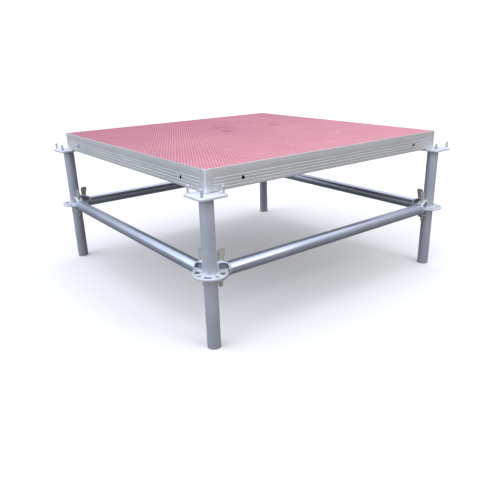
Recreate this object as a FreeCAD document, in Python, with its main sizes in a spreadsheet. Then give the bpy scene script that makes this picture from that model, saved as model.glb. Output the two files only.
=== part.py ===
import FreeCAD, Part
import os
import re
import Sketcher

# Stage riser platform: a square framed deck on four tubular legs, which four
# ledgers join at their rosettes.  Millimetres, +Z up, +X right, +Y back.
# The origin is on the floor under the middle of the deck.

DRIVING_SIZES = [
    ("deck_side", 1220, "outer side of the square deck, also the spacing of the legs"),
    ("frame_height", 76, "height of the deck's edge rails"),
    ("panel_thickness", 18, "plywood deck panel"),
    ("panel_gap", 0.5, "gap between the panel and the rails' lips"),
    ("rail_width", 30, "width of the edge rail and of the corner post"),
    ("rail_wall", 3, "wall and lip thickness of the edge rail"),
    ("groove_first", 31, "from the rail's top down to its first groove"),
    ("groove_pitch", 11, "spacing of the rail's grooves"),
    ("groove_depth", 1, "depth, and half the width, of a rail groove"),
    ("side_hole_inset", 150, "from a deck corner to the rail's side hole"),
    ("side_hole_drop", 47, "from the deck's top down to the side hole"),
    ("side_hole_radius", 6.5, "side hole in the rail"),
    ("post_edge_radius", 3.5, "rounded outer edge of a corner post"),
    ("beam_width", 30, "cross beam, outside width"),
    ("beam_height", 50, "cross beam, outside height"),
    ("beam_wall", 2.5, "cross beam, wall"),
    ("screw_spacing", 305, "spacing of the deck screws and of the cross beams"),
    ("screw_inset", 15, "from the deck's edge to the row of edge screws"),
    ("screw_head_radius", 5, "countersunk head"),
    ("screw_shank_radius", 2, "shank"),
    ("screw_length", 30, "whole length of a deck screw"),
    ("screw_clearance", 0.1, "radial gap round a shank"),
    ("socket_side", 40, "square pin socket plate"),
    ("socket_thickness", 10, "pin socket plate, on which the deck stands"),
    ("seat_gap", 1, "gap under the rails, because the deck stands on its sockets"),
    ("socket_hole_radius", 6, "hole for a locating pin"),
    ("leg_radius", 24.15, "outside radius of the standard 48.3 tube"),
    ("leg_wall", 3.2, "wall of the standard tube"),
    ("leg_length", 542, "leg tube"),
    ("plate_side", 108, "square head plate"),
    ("plate_thickness", 8, "head plate"),
    ("plate_corner_radius", 12, "rounded corner of the head plate"),
    ("pin_offset", 40, "locating pin, from the leg's axis along X and along Y"),
    ("pin_radius", 5, "locating pin"),
    ("pin_length", 30, "locating pin, with its chamfer"),
    ("pin_chamfer", 2, "chamfer at the top of a locating pin"),
    ("rosette_level", 278, "height of the rosette's middle plane and the ledger's axis"),
    ("rosette_radius", 62, "outside radius of the rosette"),
    ("rosette_thickness", 8, "rosette"),
    ("rosette_gap", 0.1, "gap between the leg and the rosette, under the weld"),
    ("hole_inner_radius", 33, "inner edge of the rosette's holes"),
    ("hole_outer_radius", 53.2, "outer edge of the rosette's holes"),
    ("small_hole_width", 16, "the rosette's small holes, across"),
    ("small_hole_rounding", 4, "corner radius of a small hole"),
    ("large_hole_angle", 37, "angle that a large hole spans"),
    ("large_hole_rounding", 3, "corner radius of a large hole"),
    ("head_gap", 0.5, "gap between a wedge head's nose and the leg"),
    ("head_start", 19.3, "from the leg's axis to the tips of the wedge head's nose"),
    ("head_shoulder", 36.2, "from the leg's axis to where the wedge head starts to widen"),
    ("head_reach", 70, "from the leg's axis to the end of the wedge head"),
    ("head_collar", 4, "length of the wedge head's straight round end"),
    ("trim_margin", 5, "how far the turning cut runs past both ends of the wedge head"),
    ("trim_clearance", 0.2, "from the corners of the nose to the turning cut"),
    ("head_nose_height", 76, "wedge head at the leg"),
    ("head_nose_width", 29, "wedge head at the leg"),
    ("head_slot_height", 11, "slot that takes the rosette"),
    ("head_slot_reach", 63.5, "from the leg's axis to the slot's back wall"),
    ("head_top_wall", 8, "top wall that stops the rivet"),
    ("head_pocket_floor", 10.5, "from the head's middle plane to its side pockets' floors"),
    ("head_pocket_rim", 3, "rim between a side pocket and the rosette's slot"),
    ("head_pocket_start", 29, "from the leg's axis to a side pocket"),
    ("head_pocket_crest", 48.3, "from the leg's axis to where a side pocket starts to get lower"),
    ("head_pocket_end", 62, "from the leg's axis to the far end of a side pocket"),
    ("head_pocket_end_height", 19.3, "top of a side pocket at its far end"),
    ("wedge_slot_width", 7.2, "slot for the wedge in the top wall"),
    ("rivet_slot_width", 14.4, "slot for the wedge and its rivet below the top wall"),
    ("wedge_slot_end", 58.5, "from the leg's axis to the wedge slot's outer end"),
    ("wedge_gap", 0.4, "gap between the wedge and the slot's inner end"),
    ("wedge_thickness", 6, "wedge plate"),
    ("wedge_inner", 34, "from the leg's axis to the wedge's straight edge"),
    ("wedge_tip_width", 12.5, "wedge, at its lower tip"),
    ("wedge_shoulder_width", 22.2, "wedge, where it leaves the head"),
    ("wedge_top_width", 31, "wedge, at its hammered top"),
    ("wedge_drop", 58, "wedge tip below the rosette's middle plane"),
    ("wedge_shoulder", 37, "shoulder above the rosette's middle plane"),
    ("wedge_rise", 77, "wedge top above the rosette's middle plane"),
    ("wedge_top_rounding", 7, "outer top corner of the wedge"),
    ("rivet_place", 7, "rivet, from the wedge's straight edge"),
    ("rivet_lift", 6, "rivet, from the wedge's tip"),
    ("rivet_head_radius", 4.7, "rivet head"),
    ("rivet_shank_radius", 3, "rivet shank"),
    ("rivet_length", 12, "rivet, over both heads"),
]

# A corner's quarter turn brings the deck's inside into its first quadrant, and
# a side's quarter turn brings the front side round to it.
CORNERS = {"front_left": 0, "front_right": 90, "back_right": 180, "back_left": 270}
SIDES = {"front": 0, "right": 90, "back": 180, "left": 270}
LEDGER_ENDS = {
    "front": ("left", "right"),
    "right": ("front", "back"),
    "back": ("right", "left"),
    "left": ("back", "front"),
}
GRID = (-1, 0, 1)
GROOVES = 4
PICK_MARGIN = 1  # an edge is picked when it lies this far clear of its neighbours

doc = FreeCAD.newDocument("StageRiserPlatform")
sheet = doc.addObject("Spreadsheet::Sheet", "Sheet")
for row, (alias, size, note) in enumerate(DRIVING_SIZES, start=1):
    sheet.set(f"A{row}", note)
    sheet.set(f"B{row}", str(size))
    sheet.setAlias(f"B{row}", alias)
doc.recompute()

ALIASES = re.compile(r"\b(" + "|".join(alias for alias, _, _ in DRIVING_SIZES) + r")\b")
NODES = []


def value(formula):
    """The number that a formula of the sheet's aliases gives."""
    return float(sheet.evalExpression(formula))


def bind(thing, name, formula):
    """Bind one property to a formula of the sheet's aliases."""
    thing.setExpression(name, ALIASES.sub(r"Sheet.\1", formula))


def place(node, x="0", y="0", z="0", turn=0):
    """Turn a sub-part about +Z, bind its place, and list it as a node."""
    node.Placement.Rotation = FreeCAD.Rotation(FreeCAD.Vector(0, 0, 1), turn)
    for letter, formula in zip("xyz", (x, y, z)):
        bind(node, f"Placement.Base.{letter}", formula)
    NODES.append(node)


def place_at_corner(node, turn, z):
    """Place a sub-part at the deck corner that a quarter turn points away from."""
    away = FreeCAD.Rotation(FreeCAD.Vector(0, 0, 1), turn).multVec(FreeCAD.Vector(-1, -1, 0))
    place(node, f"{round(away.x)} * deck_side / 2", f"{round(away.y)} * deck_side / 2", z, turn)


def place_at_side(node, turn, z):
    """Place a sub-part at the middle of the deck side that a quarter turn gives."""
    away = FreeCAD.Rotation(FreeCAD.Vector(0, 0, 1), turn).multVec(FreeCAD.Vector(0, -1, 0))
    place(node, f"{round(away.x)} * deck_side / 2", f"{round(away.y)} * deck_side / 2", z, turn)


def new_body(label):
    """An empty body that carries the sub-part's name."""
    body = doc.addObject("PartDesign::Body", label)
    body.Label = label
    return body


def new_sketch(body, plane, offset="0", turn=0):
    """A sketch on one of the body's own origin planes, offset along its normal."""
    sketch = body.newObject("Sketcher::SketchObject", "Sketch")
    support = next(f for f in body.Origin.OriginFeatures if f.Role == plane)
    sketch.AttachmentSupport = [(support, "")]
    sketch.MapMode = "FlatFace"
    sketch.AttachmentOffset = FreeCAD.Placement(
        FreeCAD.Vector(0, 0, value(offset)), FreeCAD.Rotation(FreeCAD.Vector(0, 0, 1), turn))
    bind(sketch, "AttachmentOffset.Base.z", offset)
    return sketch


def bind_constraint(sketch, kind, places, formula):
    """Add one driving constraint and bind it to a formula."""
    index = sketch.addConstraint(Sketcher.Constraint(kind, *places, value(formula)))
    name = f"size_{index}"
    sketch.renameConstraint(index, name)
    bind(sketch, f"Constraints.{name}", formula)


def add_outline(sketch, corners):
    """A closed outline of straight lines, each corner a pair of formulas."""
    points = [FreeCAD.Vector(value(across), value(up), 0) for across, up in corners]
    first = sketch.GeometryCount
    count = len(points)
    lines = [Part.LineSegment(points[k], points[(k + 1) % count]) for k in range(count)]
    sketch.addGeometry(lines, False)
    joints = [Sketcher.Constraint("Coincident", first + k, 2, first + (k + 1) % count, 1)
              for k in range(count)]
    sketch.addConstraint(joints)
    for k, (across, up) in enumerate(corners):
        bind_constraint(sketch, "DistanceX", (-1, 1, first + k, 1), across)
        bind_constraint(sketch, "DistanceY", (-1, 1, first + k, 1), up)


def add_circle(sketch, radius, across="0", up="0"):
    """A circle whose radius and centre are formulas."""
    centre = FreeCAD.Vector(value(across), value(up), 0)
    circle = Part.Circle(centre, FreeCAD.Vector(0, 0, 1), value(radius))
    index = sketch.addGeometry(circle, False)
    bind_constraint(sketch, "DistanceX", (-1, 1, index, 3), across)
    bind_constraint(sketch, "DistanceY", (-1, 1, index, 3), up)
    bind_constraint(sketch, "Radius", (index,), radius)


def pad(body, sketch, length, symmetric=False, reverse=False, taper=0):
    """Pad a sketch along its normal, against it, or half each way."""
    feature = body.newObject("PartDesign::Pad", "Pad")
    feature.Profile = sketch
    bind(feature, "Length", length)
    feature.SideType = "Symmetric" if symmetric else "One side"
    feature.Reversed = reverse
    feature.TaperAngle = taper
    return finish_feature(body, feature)


def cut(body, sketch, length=None, symmetric=False, reverse=False):
    """Pocket a sketch against its normal, or through everything when no length is given."""
    feature = body.newObject("PartDesign::Pocket", "Pocket")
    feature.Profile = sketch
    feature.SideType = "Symmetric" if symmetric else "One side"
    feature.Reversed = reverse
    if length is None:
        feature.Type = "ThroughAll"
    else:
        bind(feature, "Length", length)
    return finish_cut(body, feature)


def finish_feature(body, feature):
    """Recompute with the feature as the body's tip."""
    body.Tip = feature
    doc.recompute()
    return feature


def finish_cut(body, feature):
    """Recompute a cutting feature and make sure that it took material away."""
    before = body.Shape.Volume
    finish_feature(body, feature)
    if body.Shape.Volume > before - 1e-3:
        raise RuntimeError(f"{body.Label}: {feature.Name} cuts nothing")
    return feature


def round_edges(body, radius, wanted, kind="PartDesign::Fillet"):
    """Fillet, or chamfer, the edges of the body's tip that wanted(edge) picks."""
    base = body.Tip
    names = [f"Edge{k}" for k, edge in enumerate(base.Shape.Edges, start=1) if wanted(edge)]
    feature = body.newObject(kind, "EdgeFinish")
    feature.Base = (base, names)
    bind(feature, "Radius" if kind.endswith("Fillet") else "Size", radius)
    return finish_feature(body, feature)


def runs_along(edge, axis):
    """Whether a straight edge is parallel to an axis."""
    if not isinstance(edge.Curve, Part.Line):
        return False
    return abs(abs(edge.Curve.Direction.dot(axis)) - 1) < 1e-6


def upright(edge):
    """Whether an edge is a vertical line."""
    return runs_along(edge, FreeCAD.Vector(0, 0, 1))


def rectangle(low_x, low_y, high_x, high_y):
    """The four corners of a rectangle, as formulas."""
    return [(low_x, low_y), (high_x, low_y), (high_x, high_y), (low_x, high_y)]


def make_tube(label, plane, length, symmetric):
    """A length of the standard round tube."""
    body = new_body(label)
    ring = new_sketch(body, plane)
    add_circle(ring, "leg_radius")
    add_circle(ring, "leg_radius - leg_wall")
    pad(body, ring, length, symmetric=symmetric)
    return body


def make_head_plate(label):
    """Square plate with rounded corners, welded on top of a leg."""
    body = new_body(label)
    square = new_sketch(body, "XY_Plane")
    half = "plate_side / 2"
    add_outline(square, rectangle(f"-{half}", f"-{half}", half, half))
    pad(body, square, "plate_thickness")
    round_edges(body, "plate_corner_radius", upright)
    return body


def make_locating_pins(label):
    """Four chamfered pins in a square, one for each deck that meets at the leg."""
    body = new_body(label)
    circles = new_sketch(body, "XY_Plane")
    for side in (-1, 1):
        for depth in (-1, 1):
            add_circle(circles, "pin_radius", f"{side} * pin_offset", f"{depth} * pin_offset")
    pad(body, circles, "pin_length")
    top = value("pin_length")
    round_edges(body, "pin_chamfer", lambda edge: abs(edge.BoundBox.ZMin - top) < 1e-6,
                "PartDesign::Chamfer")
    return body


def add_sector(sketch, inner, outer, angle):
    """A sector of a ring, symmetrical about the sketch's first axis."""
    half = FreeCAD.Units.Quantity(f"{value(angle) / 2} deg").getValueAs("rad").Value
    centre = Part.Circle(FreeCAD.Vector(), FreeCAD.Vector(0, 0, 1), value(outer))
    far = sketch.addGeometry(Part.ArcOfCircle(centre, -half, half), False)
    centre.Radius = value(inner)
    near = sketch.addGeometry(Part.ArcOfCircle(centre, -half, half), False)
    for arc, radius in ((far, outer), (near, inner)):
        sketch.addConstraint(Sketcher.Constraint("Coincident", arc, 3, -1, 1))
        bind_constraint(sketch, "Radius", (arc,), radius)
        sketch.addConstraint(Sketcher.Constraint("Symmetric", arc, 1, arc, 2, -1))
    flanks = []
    for end in (1, 2):
        start = sketch.getPoint(near, end)
        stop = sketch.getPoint(far, end)
        flank = sketch.addGeometry(Part.LineSegment(start, stop), False)
        sketch.addConstraint(Sketcher.Constraint("Coincident", flank, 1, near, end))
        sketch.addConstraint(Sketcher.Constraint("Coincident", flank, 2, far, end))
        flanks.append(flank)
    sketch.addConstraint(Sketcher.Constraint("PointOnObject", -1, 1, flanks[0]))
    bind_constraint(sketch, "Angle", (flanks[0], 1, flanks[1], 1), f"{angle} * 1deg")


def make_rosette(label):
    """Disc with four small holes on the axes and four large ones between them."""
    body = new_body(label)
    disc = new_sketch(body, "XY_Plane")
    add_circle(disc, "rosette_radius")
    add_circle(disc, "leg_radius + rosette_gap")
    pad(body, disc, "rosette_thickness", symmetric=True)
    small = new_sketch(body, "XY_Plane")
    half = "small_hole_width / 2"
    add_outline(small, rectangle("hole_inner_radius", f"-{half}", "hole_outer_radius", half))
    small_hole = cut(body, small, symmetric=True)
    large = new_sketch(body, "XY_Plane", turn=45)
    add_sector(large, "hole_inner_radius", "hole_outer_radius", "large_hole_angle")
    large_hole = cut(body, large, symmetric=True)
    around = body.newObject("PartDesign::PolarPattern", "HolesAround")
    around.Originals = [small_hole, large_hole]
    around.Axis = (next(f for f in body.Origin.OriginFeatures if f.Role == "Z_Axis"), [""])
    around.Angle = 360
    around.Occurrences = 4
    finish_cut(body, around)
    half_width = value(half)

    def at_small_hole(edge):
        middle = edge.CenterOfMass
        return upright(edge) and abs(min(abs(middle.x), abs(middle.y)) - half_width) < 1e-3

    round_edges(body, "small_hole_rounding", at_small_hole)
    seam = value("leg_radius") + PICK_MARGIN

    def at_large_hole(edge):
        middle = edge.CenterOfMass
        away = min(abs(middle.x), abs(middle.y))
        inside = seam < middle.Length < value("rosette_radius") - PICK_MARGIN
        return upright(edge) and inside and away > half_width + PICK_MARGIN

    round_edges(body, "large_hole_rounding", at_large_hole)
    return body


def make_wedge_head(label):
    """Casting that grips the rosette: the leg is at the origin, the ledger runs along +X."""
    body = new_body(label)
    plan = new_sketch(body, "XY_Plane")
    nose = "head_nose_width / 2"
    collar = "head_reach - head_collar"
    add_outline(plan, [("head_start", f"-{nose}"), ("head_shoulder", f"-{nose}"),
                       (collar, "-leg_radius"), ("head_reach", "-leg_radius"),
                       ("head_reach", "leg_radius"), (collar, "leg_radius"),
                       ("head_shoulder", nose), ("head_start", nose)])
    pad(body, plan, "head_nose_height", symmetric=True)
    trim_head_to_tube(body)
    leg = new_sketch(body, "XY_Plane")
    add_circle(leg, "leg_radius + head_gap")
    cut(body, leg, symmetric=True)
    mouth = new_sketch(body, "XZ_Plane")
    half_slot = "head_slot_height / 2"
    add_outline(mouth, rectangle("0", f"-{half_slot}", "head_slot_reach", half_slot))
    cut(body, mouth, symmetric=True)
    cut_wedge_slots(body)
    cut_side_pockets(body)
    return body


def trim_head_to_tube(body):
    """Turn the head's rear corners down to a cone that ends at the ledger tube."""
    cone = new_sketch(body, "XZ_Plane")
    full = "sqrt(head_nose_height ^ 2 + head_nose_width ^ 2) / 2 + trim_clearance"
    clear = "head_nose_height"
    before, past = "head_start - trim_margin", "head_reach + trim_margin"
    add_outline(cone, [(before, full), ("head_shoulder", full), ("head_reach", "leg_radius"),
                       (past, "leg_radius"), (past, clear), (before, clear)])
    groove = body.newObject("PartDesign::Groove", "ConeTrim")
    groove.Profile = cone
    groove.ReferenceAxis = (cone, ["H_Axis"])
    groove.Angle = 360
    finish_cut(body, groove)


def cut_wedge_slots(body):
    """A narrow slot through the top wall, and a wider one below it for the rivet."""
    inner = "wedge_inner - wedge_gap"
    narrow = new_sketch(body, "XY_Plane")
    half = "wedge_slot_width / 2"
    add_outline(narrow, rectangle(inner, f"-{half}", "wedge_slot_end", half))
    cut(body, narrow, symmetric=True)
    wide = new_sketch(body, "XY_Plane", offset="head_nose_height / 2 - head_top_wall")
    half = "rivet_slot_width / 2"
    add_outline(wide, rectangle(inner, f"-{half}", "wedge_slot_end", half))
    cut(body, wide, "head_nose_height")


def cut_side_pockets(body):
    """Recess both flanks above and below the rosette's slot, with a rim left round them."""
    low = "head_slot_height / 2 + head_pocket_rim"
    high = "head_nose_height / 2 - head_top_wall / 2"
    upper = [("head_pocket_start", low), ("head_pocket_end", low),
             ("head_pocket_end", "head_pocket_end_height"),
             ("head_pocket_crest", high), ("head_pocket_start", high)]
    pocket = new_sketch(body, "XZ_Plane", offset="head_pocket_floor")
    for sign in (1, -1):
        add_outline(pocket, [(across, f"{sign} * ({up})") for across, up in upper])
    recess = cut(body, pocket, "leg_radius", reverse=True)
    mirrored = body.newObject("PartDesign::Mirrored", "OtherFlank")
    mirrored.Originals = [recess]
    mirrored.MirrorPlane = (next(f for f in body.Origin.OriginFeatures if f.Role == "XZ_Plane"), [""])
    finish_cut(body, mirrored)


def make_wedge(label):
    """Tapered plate with a straight inner edge, drawn where it sits in its head."""
    body = new_body(label)
    side = new_sketch(body, "XZ_Plane")
    add_outline(side, [("wedge_inner", "-wedge_drop"),
                       ("wedge_inner + wedge_tip_width", "-wedge_drop"),
                       ("wedge_inner + wedge_shoulder_width", "wedge_shoulder"),
                       ("wedge_inner + wedge_top_width", "wedge_rise"),
                       ("wedge_inner", "wedge_rise")])
    add_circle(side, "rivet_shank_radius", "wedge_inner + rivet_place", "rivet_lift - wedge_drop")
    pad(body, side, "wedge_thickness", symmetric=True)
    across = FreeCAD.Vector(0, 1, 0)
    top = value("wedge_rise")
    round_edges(body, "wedge_top_rounding",
                lambda edge: runs_along(edge, across) and edge.CenterOfMass.z > top - PICK_MARGIN)
    return body


def make_rivet(label):
    """Rivet through the wedge's tip, with a flat head on each side of the plate."""
    body = new_body(label)
    place_x = "wedge_inner + rivet_place"
    place_z = "rivet_lift - wedge_drop"
    shank = new_sketch(body, "XZ_Plane")
    add_circle(shank, "rivet_shank_radius", place_x, place_z)
    pad(body, shank, "rivet_length", symmetric=True)
    head_thickness = "(rivet_length - wedge_thickness) / 2"
    for sign in (-1, 1):
        head = new_sketch(body, "XZ_Plane", offset=f"{sign} * wedge_thickness / 2")
        add_circle(head, "rivet_head_radius", place_x, place_z)
        pad(body, head, head_thickness, reverse=sign < 0)
    return body


def make_rail(label):
    """Extruded edge rail: a hollow box with a ledge for the panel and a lip outside it."""
    body = new_body(label)
    profile = new_sketch(body, "YZ_Plane")
    ledge = "frame_height - panel_thickness"
    corners = [("0", "0"), ("rail_width", "0"), ("rail_width", ledge), ("rail_wall", ledge),
               ("rail_wall", "frame_height"), ("0", "frame_height")]
    for k in range(GROOVES):
        middle = f"frame_height - groove_first - {k} * groove_pitch"
        corners += [("0", f"{middle} + groove_depth"), ("groove_depth", middle),
                    ("0", f"{middle} - groove_depth")]
    add_outline(profile, corners)
    add_outline(profile, rectangle("rail_wall", "rail_wall", "rail_width - rail_wall",
                                   f"{ledge} - rail_wall"))
    pad(body, profile, "deck_side - 2 * rail_width", symmetric=True)
    side_holes = new_sketch(body, "XZ_Plane")
    for sign in (-1, 1):
        add_circle(side_holes, "side_hole_radius", f"{sign} * (deck_side / 2 - side_hole_inset)",
                   "frame_height - side_hole_drop")
    cut(body, side_holes, symmetric=True)
    screw_holes = new_sketch(body, "XY_Plane", offset=ledge)
    for step in GRID:
        add_circle(screw_holes, "screw_shank_radius + screw_clearance",
                   f"{step} * screw_spacing", "screw_inset")
    cut(body, screw_holes, "rail_wall * 2")
    return body


def make_corner_post(label):
    """Corner casting: solid below the panel, with the rails' lip carried round the corner."""
    body = new_body(label)
    plan = new_sketch(body, "XY_Plane")
    add_outline(plan, rectangle("0", "0", "rail_width", "rail_width"))
    pad(body, plan, "frame_height")
    round_edges(body, "post_edge_radius",
                lambda edge: upright(edge) and edge.CenterOfMass.x + edge.CenterOfMass.y < PICK_MARGIN)
    seat = new_sketch(body, "XY_Plane", offset="frame_height")
    add_outline(seat, rectangle("rail_wall", "rail_wall", "rail_width * 2", "rail_width * 2"))
    cut(body, seat, "panel_thickness")
    inner_corner = value("rail_wall") * 2

    def in_seat_corner(edge):
        middle = edge.CenterOfMass
        return upright(edge) and abs(middle.x + middle.y - inner_corner) < 1e-3

    round_edges(body, "post_edge_radius - rail_wall", in_seat_corner)
    return body


def make_pin_sockets(label):
    """Four square plates inside the deck's corners, each with a hole for a locating pin."""
    body = new_body(label)
    plan = new_sketch(body, "XY_Plane")
    near = "(deck_side / 2 - rail_width - socket_side)"
    far = "(deck_side / 2 - rail_width)"
    hole = "(deck_side / 2 - pin_offset)"
    for side in (-1, 1):
        for depth in (-1, 1):
            add_outline(plan, rectangle(f"{side} * {near}", f"{depth} * {near}",
                                        f"{side} * {far}", f"{depth} * {far}"))
            add_circle(plan, "socket_hole_radius", f"{side} * {hole}", f"{depth} * {hole}")
    pad(body, plan, "socket_thickness")
    return body


def make_cross_beam(label):
    """Box-section beam under the panel, between the left and right rails."""
    body = new_body(label)
    profile = new_sketch(body, "YZ_Plane")
    half = "beam_width / 2"
    inside = "(beam_width / 2 - beam_wall)"
    add_outline(profile, rectangle(f"-{half}", "0", half, "beam_height"))
    add_outline(profile, rectangle(f"-{inside}", "beam_wall", inside, "beam_height - beam_wall"))
    pad(body, profile, "deck_side - 2 * rail_width", symmetric=True)
    screw_holes = new_sketch(body, "XY_Plane", offset="beam_height")
    for step in GRID:
        add_circle(screw_holes, "screw_shank_radius + screw_clearance", f"{step} * screw_spacing")
    cut(body, screw_holes, "beam_wall * 2")
    return body


def screw_places():
    """Formulas for the screws' places: a grid over the beams and a row along each rail."""
    steps = [f"{step} * screw_spacing" for step in GRID]
    places = [(across, along) for across in steps for along in steps]
    for sign in (-1, 1):
        edge = f"{sign} * (deck_side / 2 - screw_inset)"
        for step in steps:
            places += [(edge, step), (step, edge)]
    return places


def make_deck_panel(label):
    """Plywood panel with rounded corners and a countersunk hole for each screw."""
    body = new_body(label)
    plan = new_sketch(body, "XY_Plane")
    half = "(deck_side / 2 - rail_wall - panel_gap)"
    add_outline(plan, rectangle(f"-{half}", f"-{half}", half, half))
    pad(body, plan, "panel_thickness")
    round_edges(body, "post_edge_radius - rail_wall", upright)
    centres = new_sketch(body, "XY_Plane", offset="panel_thickness")
    for across, along in screw_places():
        add_circle(centres, "screw_shank_radius", across, along)
    doc.recompute()
    before = body.Shape.Volume
    holes = body.newObject("PartDesign::Hole", "ScrewHoles")
    holes.Profile = centres
    holes.DepthType = "ThroughAll"
    bind(holes, "Diameter", "2 * (screw_shank_radius + screw_clearance)")
    holes.HoleCutType = "Countersink"
    holes.HoleCutCustomValues = True
    bind(holes, "HoleCutDiameter", "2 * (screw_head_radius + screw_clearance)")
    holes.HoleCutCountersinkAngle = 90
    finish_feature(body, holes)
    if body.Shape.Volume > before - 1e-3:
        raise RuntimeError(f"{label}: the screw holes cut nothing")
    return body


def make_deck_screws(label):
    """Countersunk screws whose heads are flush with the panel's top."""
    body = new_body(label)
    shanks = new_sketch(body, "XY_Plane")
    heads = new_sketch(body, "XY_Plane")
    for across, along in screw_places():
        add_circle(shanks, "screw_shank_radius", across, along)
        add_circle(heads, "screw_head_radius", across, along)
    pad(body, shanks, "screw_length", reverse=True)
    pad(body, heads, "screw_head_radius - screw_shank_radius", reverse=True, taper=-45)
    return body


def build_legs():
    """Leg tube, head plate, locating pins and rosette at each corner."""
    for corner, turn in CORNERS.items():
        leg = make_tube(f"leg_tube_{corner}", "XY_Plane", "leg_length", symmetric=False)
        place_at_corner(leg, turn, "0")
        place_at_corner(make_head_plate(f"head_plate_{corner}"), turn, "leg_length")
        pins = make_locating_pins(f"locating_pins_{corner}")
        place_at_corner(pins, turn, "leg_length + plate_thickness")
        place_at_corner(make_rosette(f"rosette_{corner}"), turn, "rosette_level")


def build_ledgers():
    """Ledger tube along each side, with a head, a wedge and a rivet at each end."""
    for side, turn in SIDES.items():
        tube = make_tube(f"ledger_tube_{side}", "YZ_Plane", "deck_side - 2 * head_reach", True)
        place_at_side(tube, turn, "rosette_level")
        for end, end_turn in zip(LEDGER_ENDS[side], (0, 180)):
            name = f"{side}_ledger_{end}"
            for suffix, make in (("head", make_wedge_head), ("wedge", make_wedge),
                                 ("rivet", make_rivet)):
                node = make(f"{name}_{suffix}")
                place_at_ledger_end(node, turn, end_turn)


def place_at_ledger_end(node, side_turn, end_turn):
    """Place a ledger's end piece with its origin on the leg's axis, facing along the ledger."""
    along = -1 if end_turn == 0 else 1
    spin = FreeCAD.Rotation(FreeCAD.Vector(0, 0, 1), side_turn)
    leg = spin.multVec(FreeCAD.Vector(along, -1, 0))
    place(node, f"{round(leg.x)} * deck_side / 2", f"{round(leg.y)} * deck_side / 2",
          "rosette_level", side_turn + end_turn)


def build_deck():
    """Rails, corner posts, pin sockets, cross beams, panel and screws."""
    seat = "leg_length + plate_thickness"
    bottom = f"{seat} + seat_gap"
    for side, turn in SIDES.items():
        place_at_side(make_rail(f"edge_rail_{side}"), turn, bottom)
    for corner, turn in CORNERS.items():
        place_at_corner(make_corner_post(f"corner_post_{corner}"), turn, bottom)
    place(make_pin_sockets("pin_sockets"), z=seat)
    panel_bottom = f"{bottom} + frame_height - panel_thickness"
    for name, step in zip(("front", "middle", "back"), GRID):
        beam = make_cross_beam(f"cross_beam_{name}")
        place(beam, y=f"{step} * screw_spacing", z=f"{panel_bottom} - beam_height")
    place(make_deck_panel("deck_panel"), z=panel_bottom)
    place(make_deck_screws("deck_screws"), z=f"{bottom} + frame_height")


def check_document():
    """Stop if any object failed or any sub-part has no sound shape."""
    doc.recompute()
    for thing in doc.Objects:
        if "Invalid" in thing.State or "Error" in thing.State:
            raise RuntimeError(f"{thing.Label} failed: {thing.State}")
    for node in NODES:
        if node.Shape.isNull() or not node.Shape.isValid():
            raise RuntimeError(f"{node.Label} has no sound shape")


def write_parts():
    """Write each sub-part to its own file."""
    os.makedirs("parts", exist_ok=True)
    for node in NODES:
        node.Shape.exportStep(f"parts/{node.Label}.step")
        solids = len(node.Shape.Solids)
        print(f"{node.Label}: {solids} solid(s), {node.Shape.Volume / 1000:.1f} cm3")


build_legs()
build_ledgers()
build_deck()
check_document()
write_parts()
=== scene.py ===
"""Stage riser platform: the looks of one stage module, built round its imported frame.

A square deck with a pressed anti-slip film sits in an aluminium frame on four
tubular legs.  Ledgers join the legs at their rosettes, and each ledger end is a
cast head held by a captive wedge.  Metres, +Z up, +X right, +Y back.
"""

import logging
import math
from collections.abc import Callable, Sequence
from dataclasses import dataclass, field, replace
from enum import Enum
from functools import partialmethod

import bmesh
import bpy
import numpy as np
from mathutils import Matrix, Vector
from mathutils.geometry import tessellate_polygon


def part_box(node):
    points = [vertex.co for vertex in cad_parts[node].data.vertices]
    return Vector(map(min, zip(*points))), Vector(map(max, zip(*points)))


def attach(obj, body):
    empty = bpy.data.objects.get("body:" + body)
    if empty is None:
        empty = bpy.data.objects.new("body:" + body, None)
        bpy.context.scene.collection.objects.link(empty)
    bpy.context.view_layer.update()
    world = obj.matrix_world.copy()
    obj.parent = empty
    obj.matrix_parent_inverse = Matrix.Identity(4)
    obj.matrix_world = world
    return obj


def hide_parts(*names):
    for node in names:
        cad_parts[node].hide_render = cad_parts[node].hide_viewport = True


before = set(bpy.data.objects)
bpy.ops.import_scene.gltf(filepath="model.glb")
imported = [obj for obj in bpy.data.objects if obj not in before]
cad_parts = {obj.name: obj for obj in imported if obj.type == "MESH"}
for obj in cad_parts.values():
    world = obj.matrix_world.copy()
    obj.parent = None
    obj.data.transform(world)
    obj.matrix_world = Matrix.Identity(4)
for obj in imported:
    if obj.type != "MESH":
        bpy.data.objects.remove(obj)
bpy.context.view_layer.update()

log = logging.getLogger("stage_riser")

Points = np.ndarray
Colour = tuple[float, float, float, float]
MM = 0.001
WELD_DISTANCE = 2e-6
SMOOTH_BELOW = math.radians(38)
TUBE_RADIUS = 24.15 * MM
TUBE_WALL = 3.2 * MM
RIPPLE = 3 * MM
FRAME_EDGE = 30 * MM


def srgb(red: int, green: int, blue: int) -> Colour:
    """Turn a display colour, 0 to 255, into the linear colour that shaders take.

    Args:
        red, green, blue: the display colour.

    Returns:
        Linear red, green and blue, and an alpha of one.
    """
    shown = np.array([red, green, blue]) / 255
    linear = np.where(shown <= 0.04045, shown / 12.92, ((shown + 0.055) / 1.055) ** 2.4)
    return (*(float(part) for part in linear), 1.0)


class Axis(Enum):
    """Direction that a tube or an extrusion runs along."""

    X = 0
    Y = 1
    Z = 2


class Turned(Enum):
    """Named place that comes round by quarter turns about +Z."""

    @property
    def label(self) -> str:
        """Name that the nodes here carry."""
        return self.value[0]

    @property
    def quarters(self) -> int:
        """Quarter turns that bring the first place to this one."""
        return self.value[1]

    def put(self, x: float, y: float, z: float = 0.0) -> Points:
        """Turn a point of the first place into this one's."""
        return Place(0, 0, 0, self.quarters).put(np.array([x, y, z], float))


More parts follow.
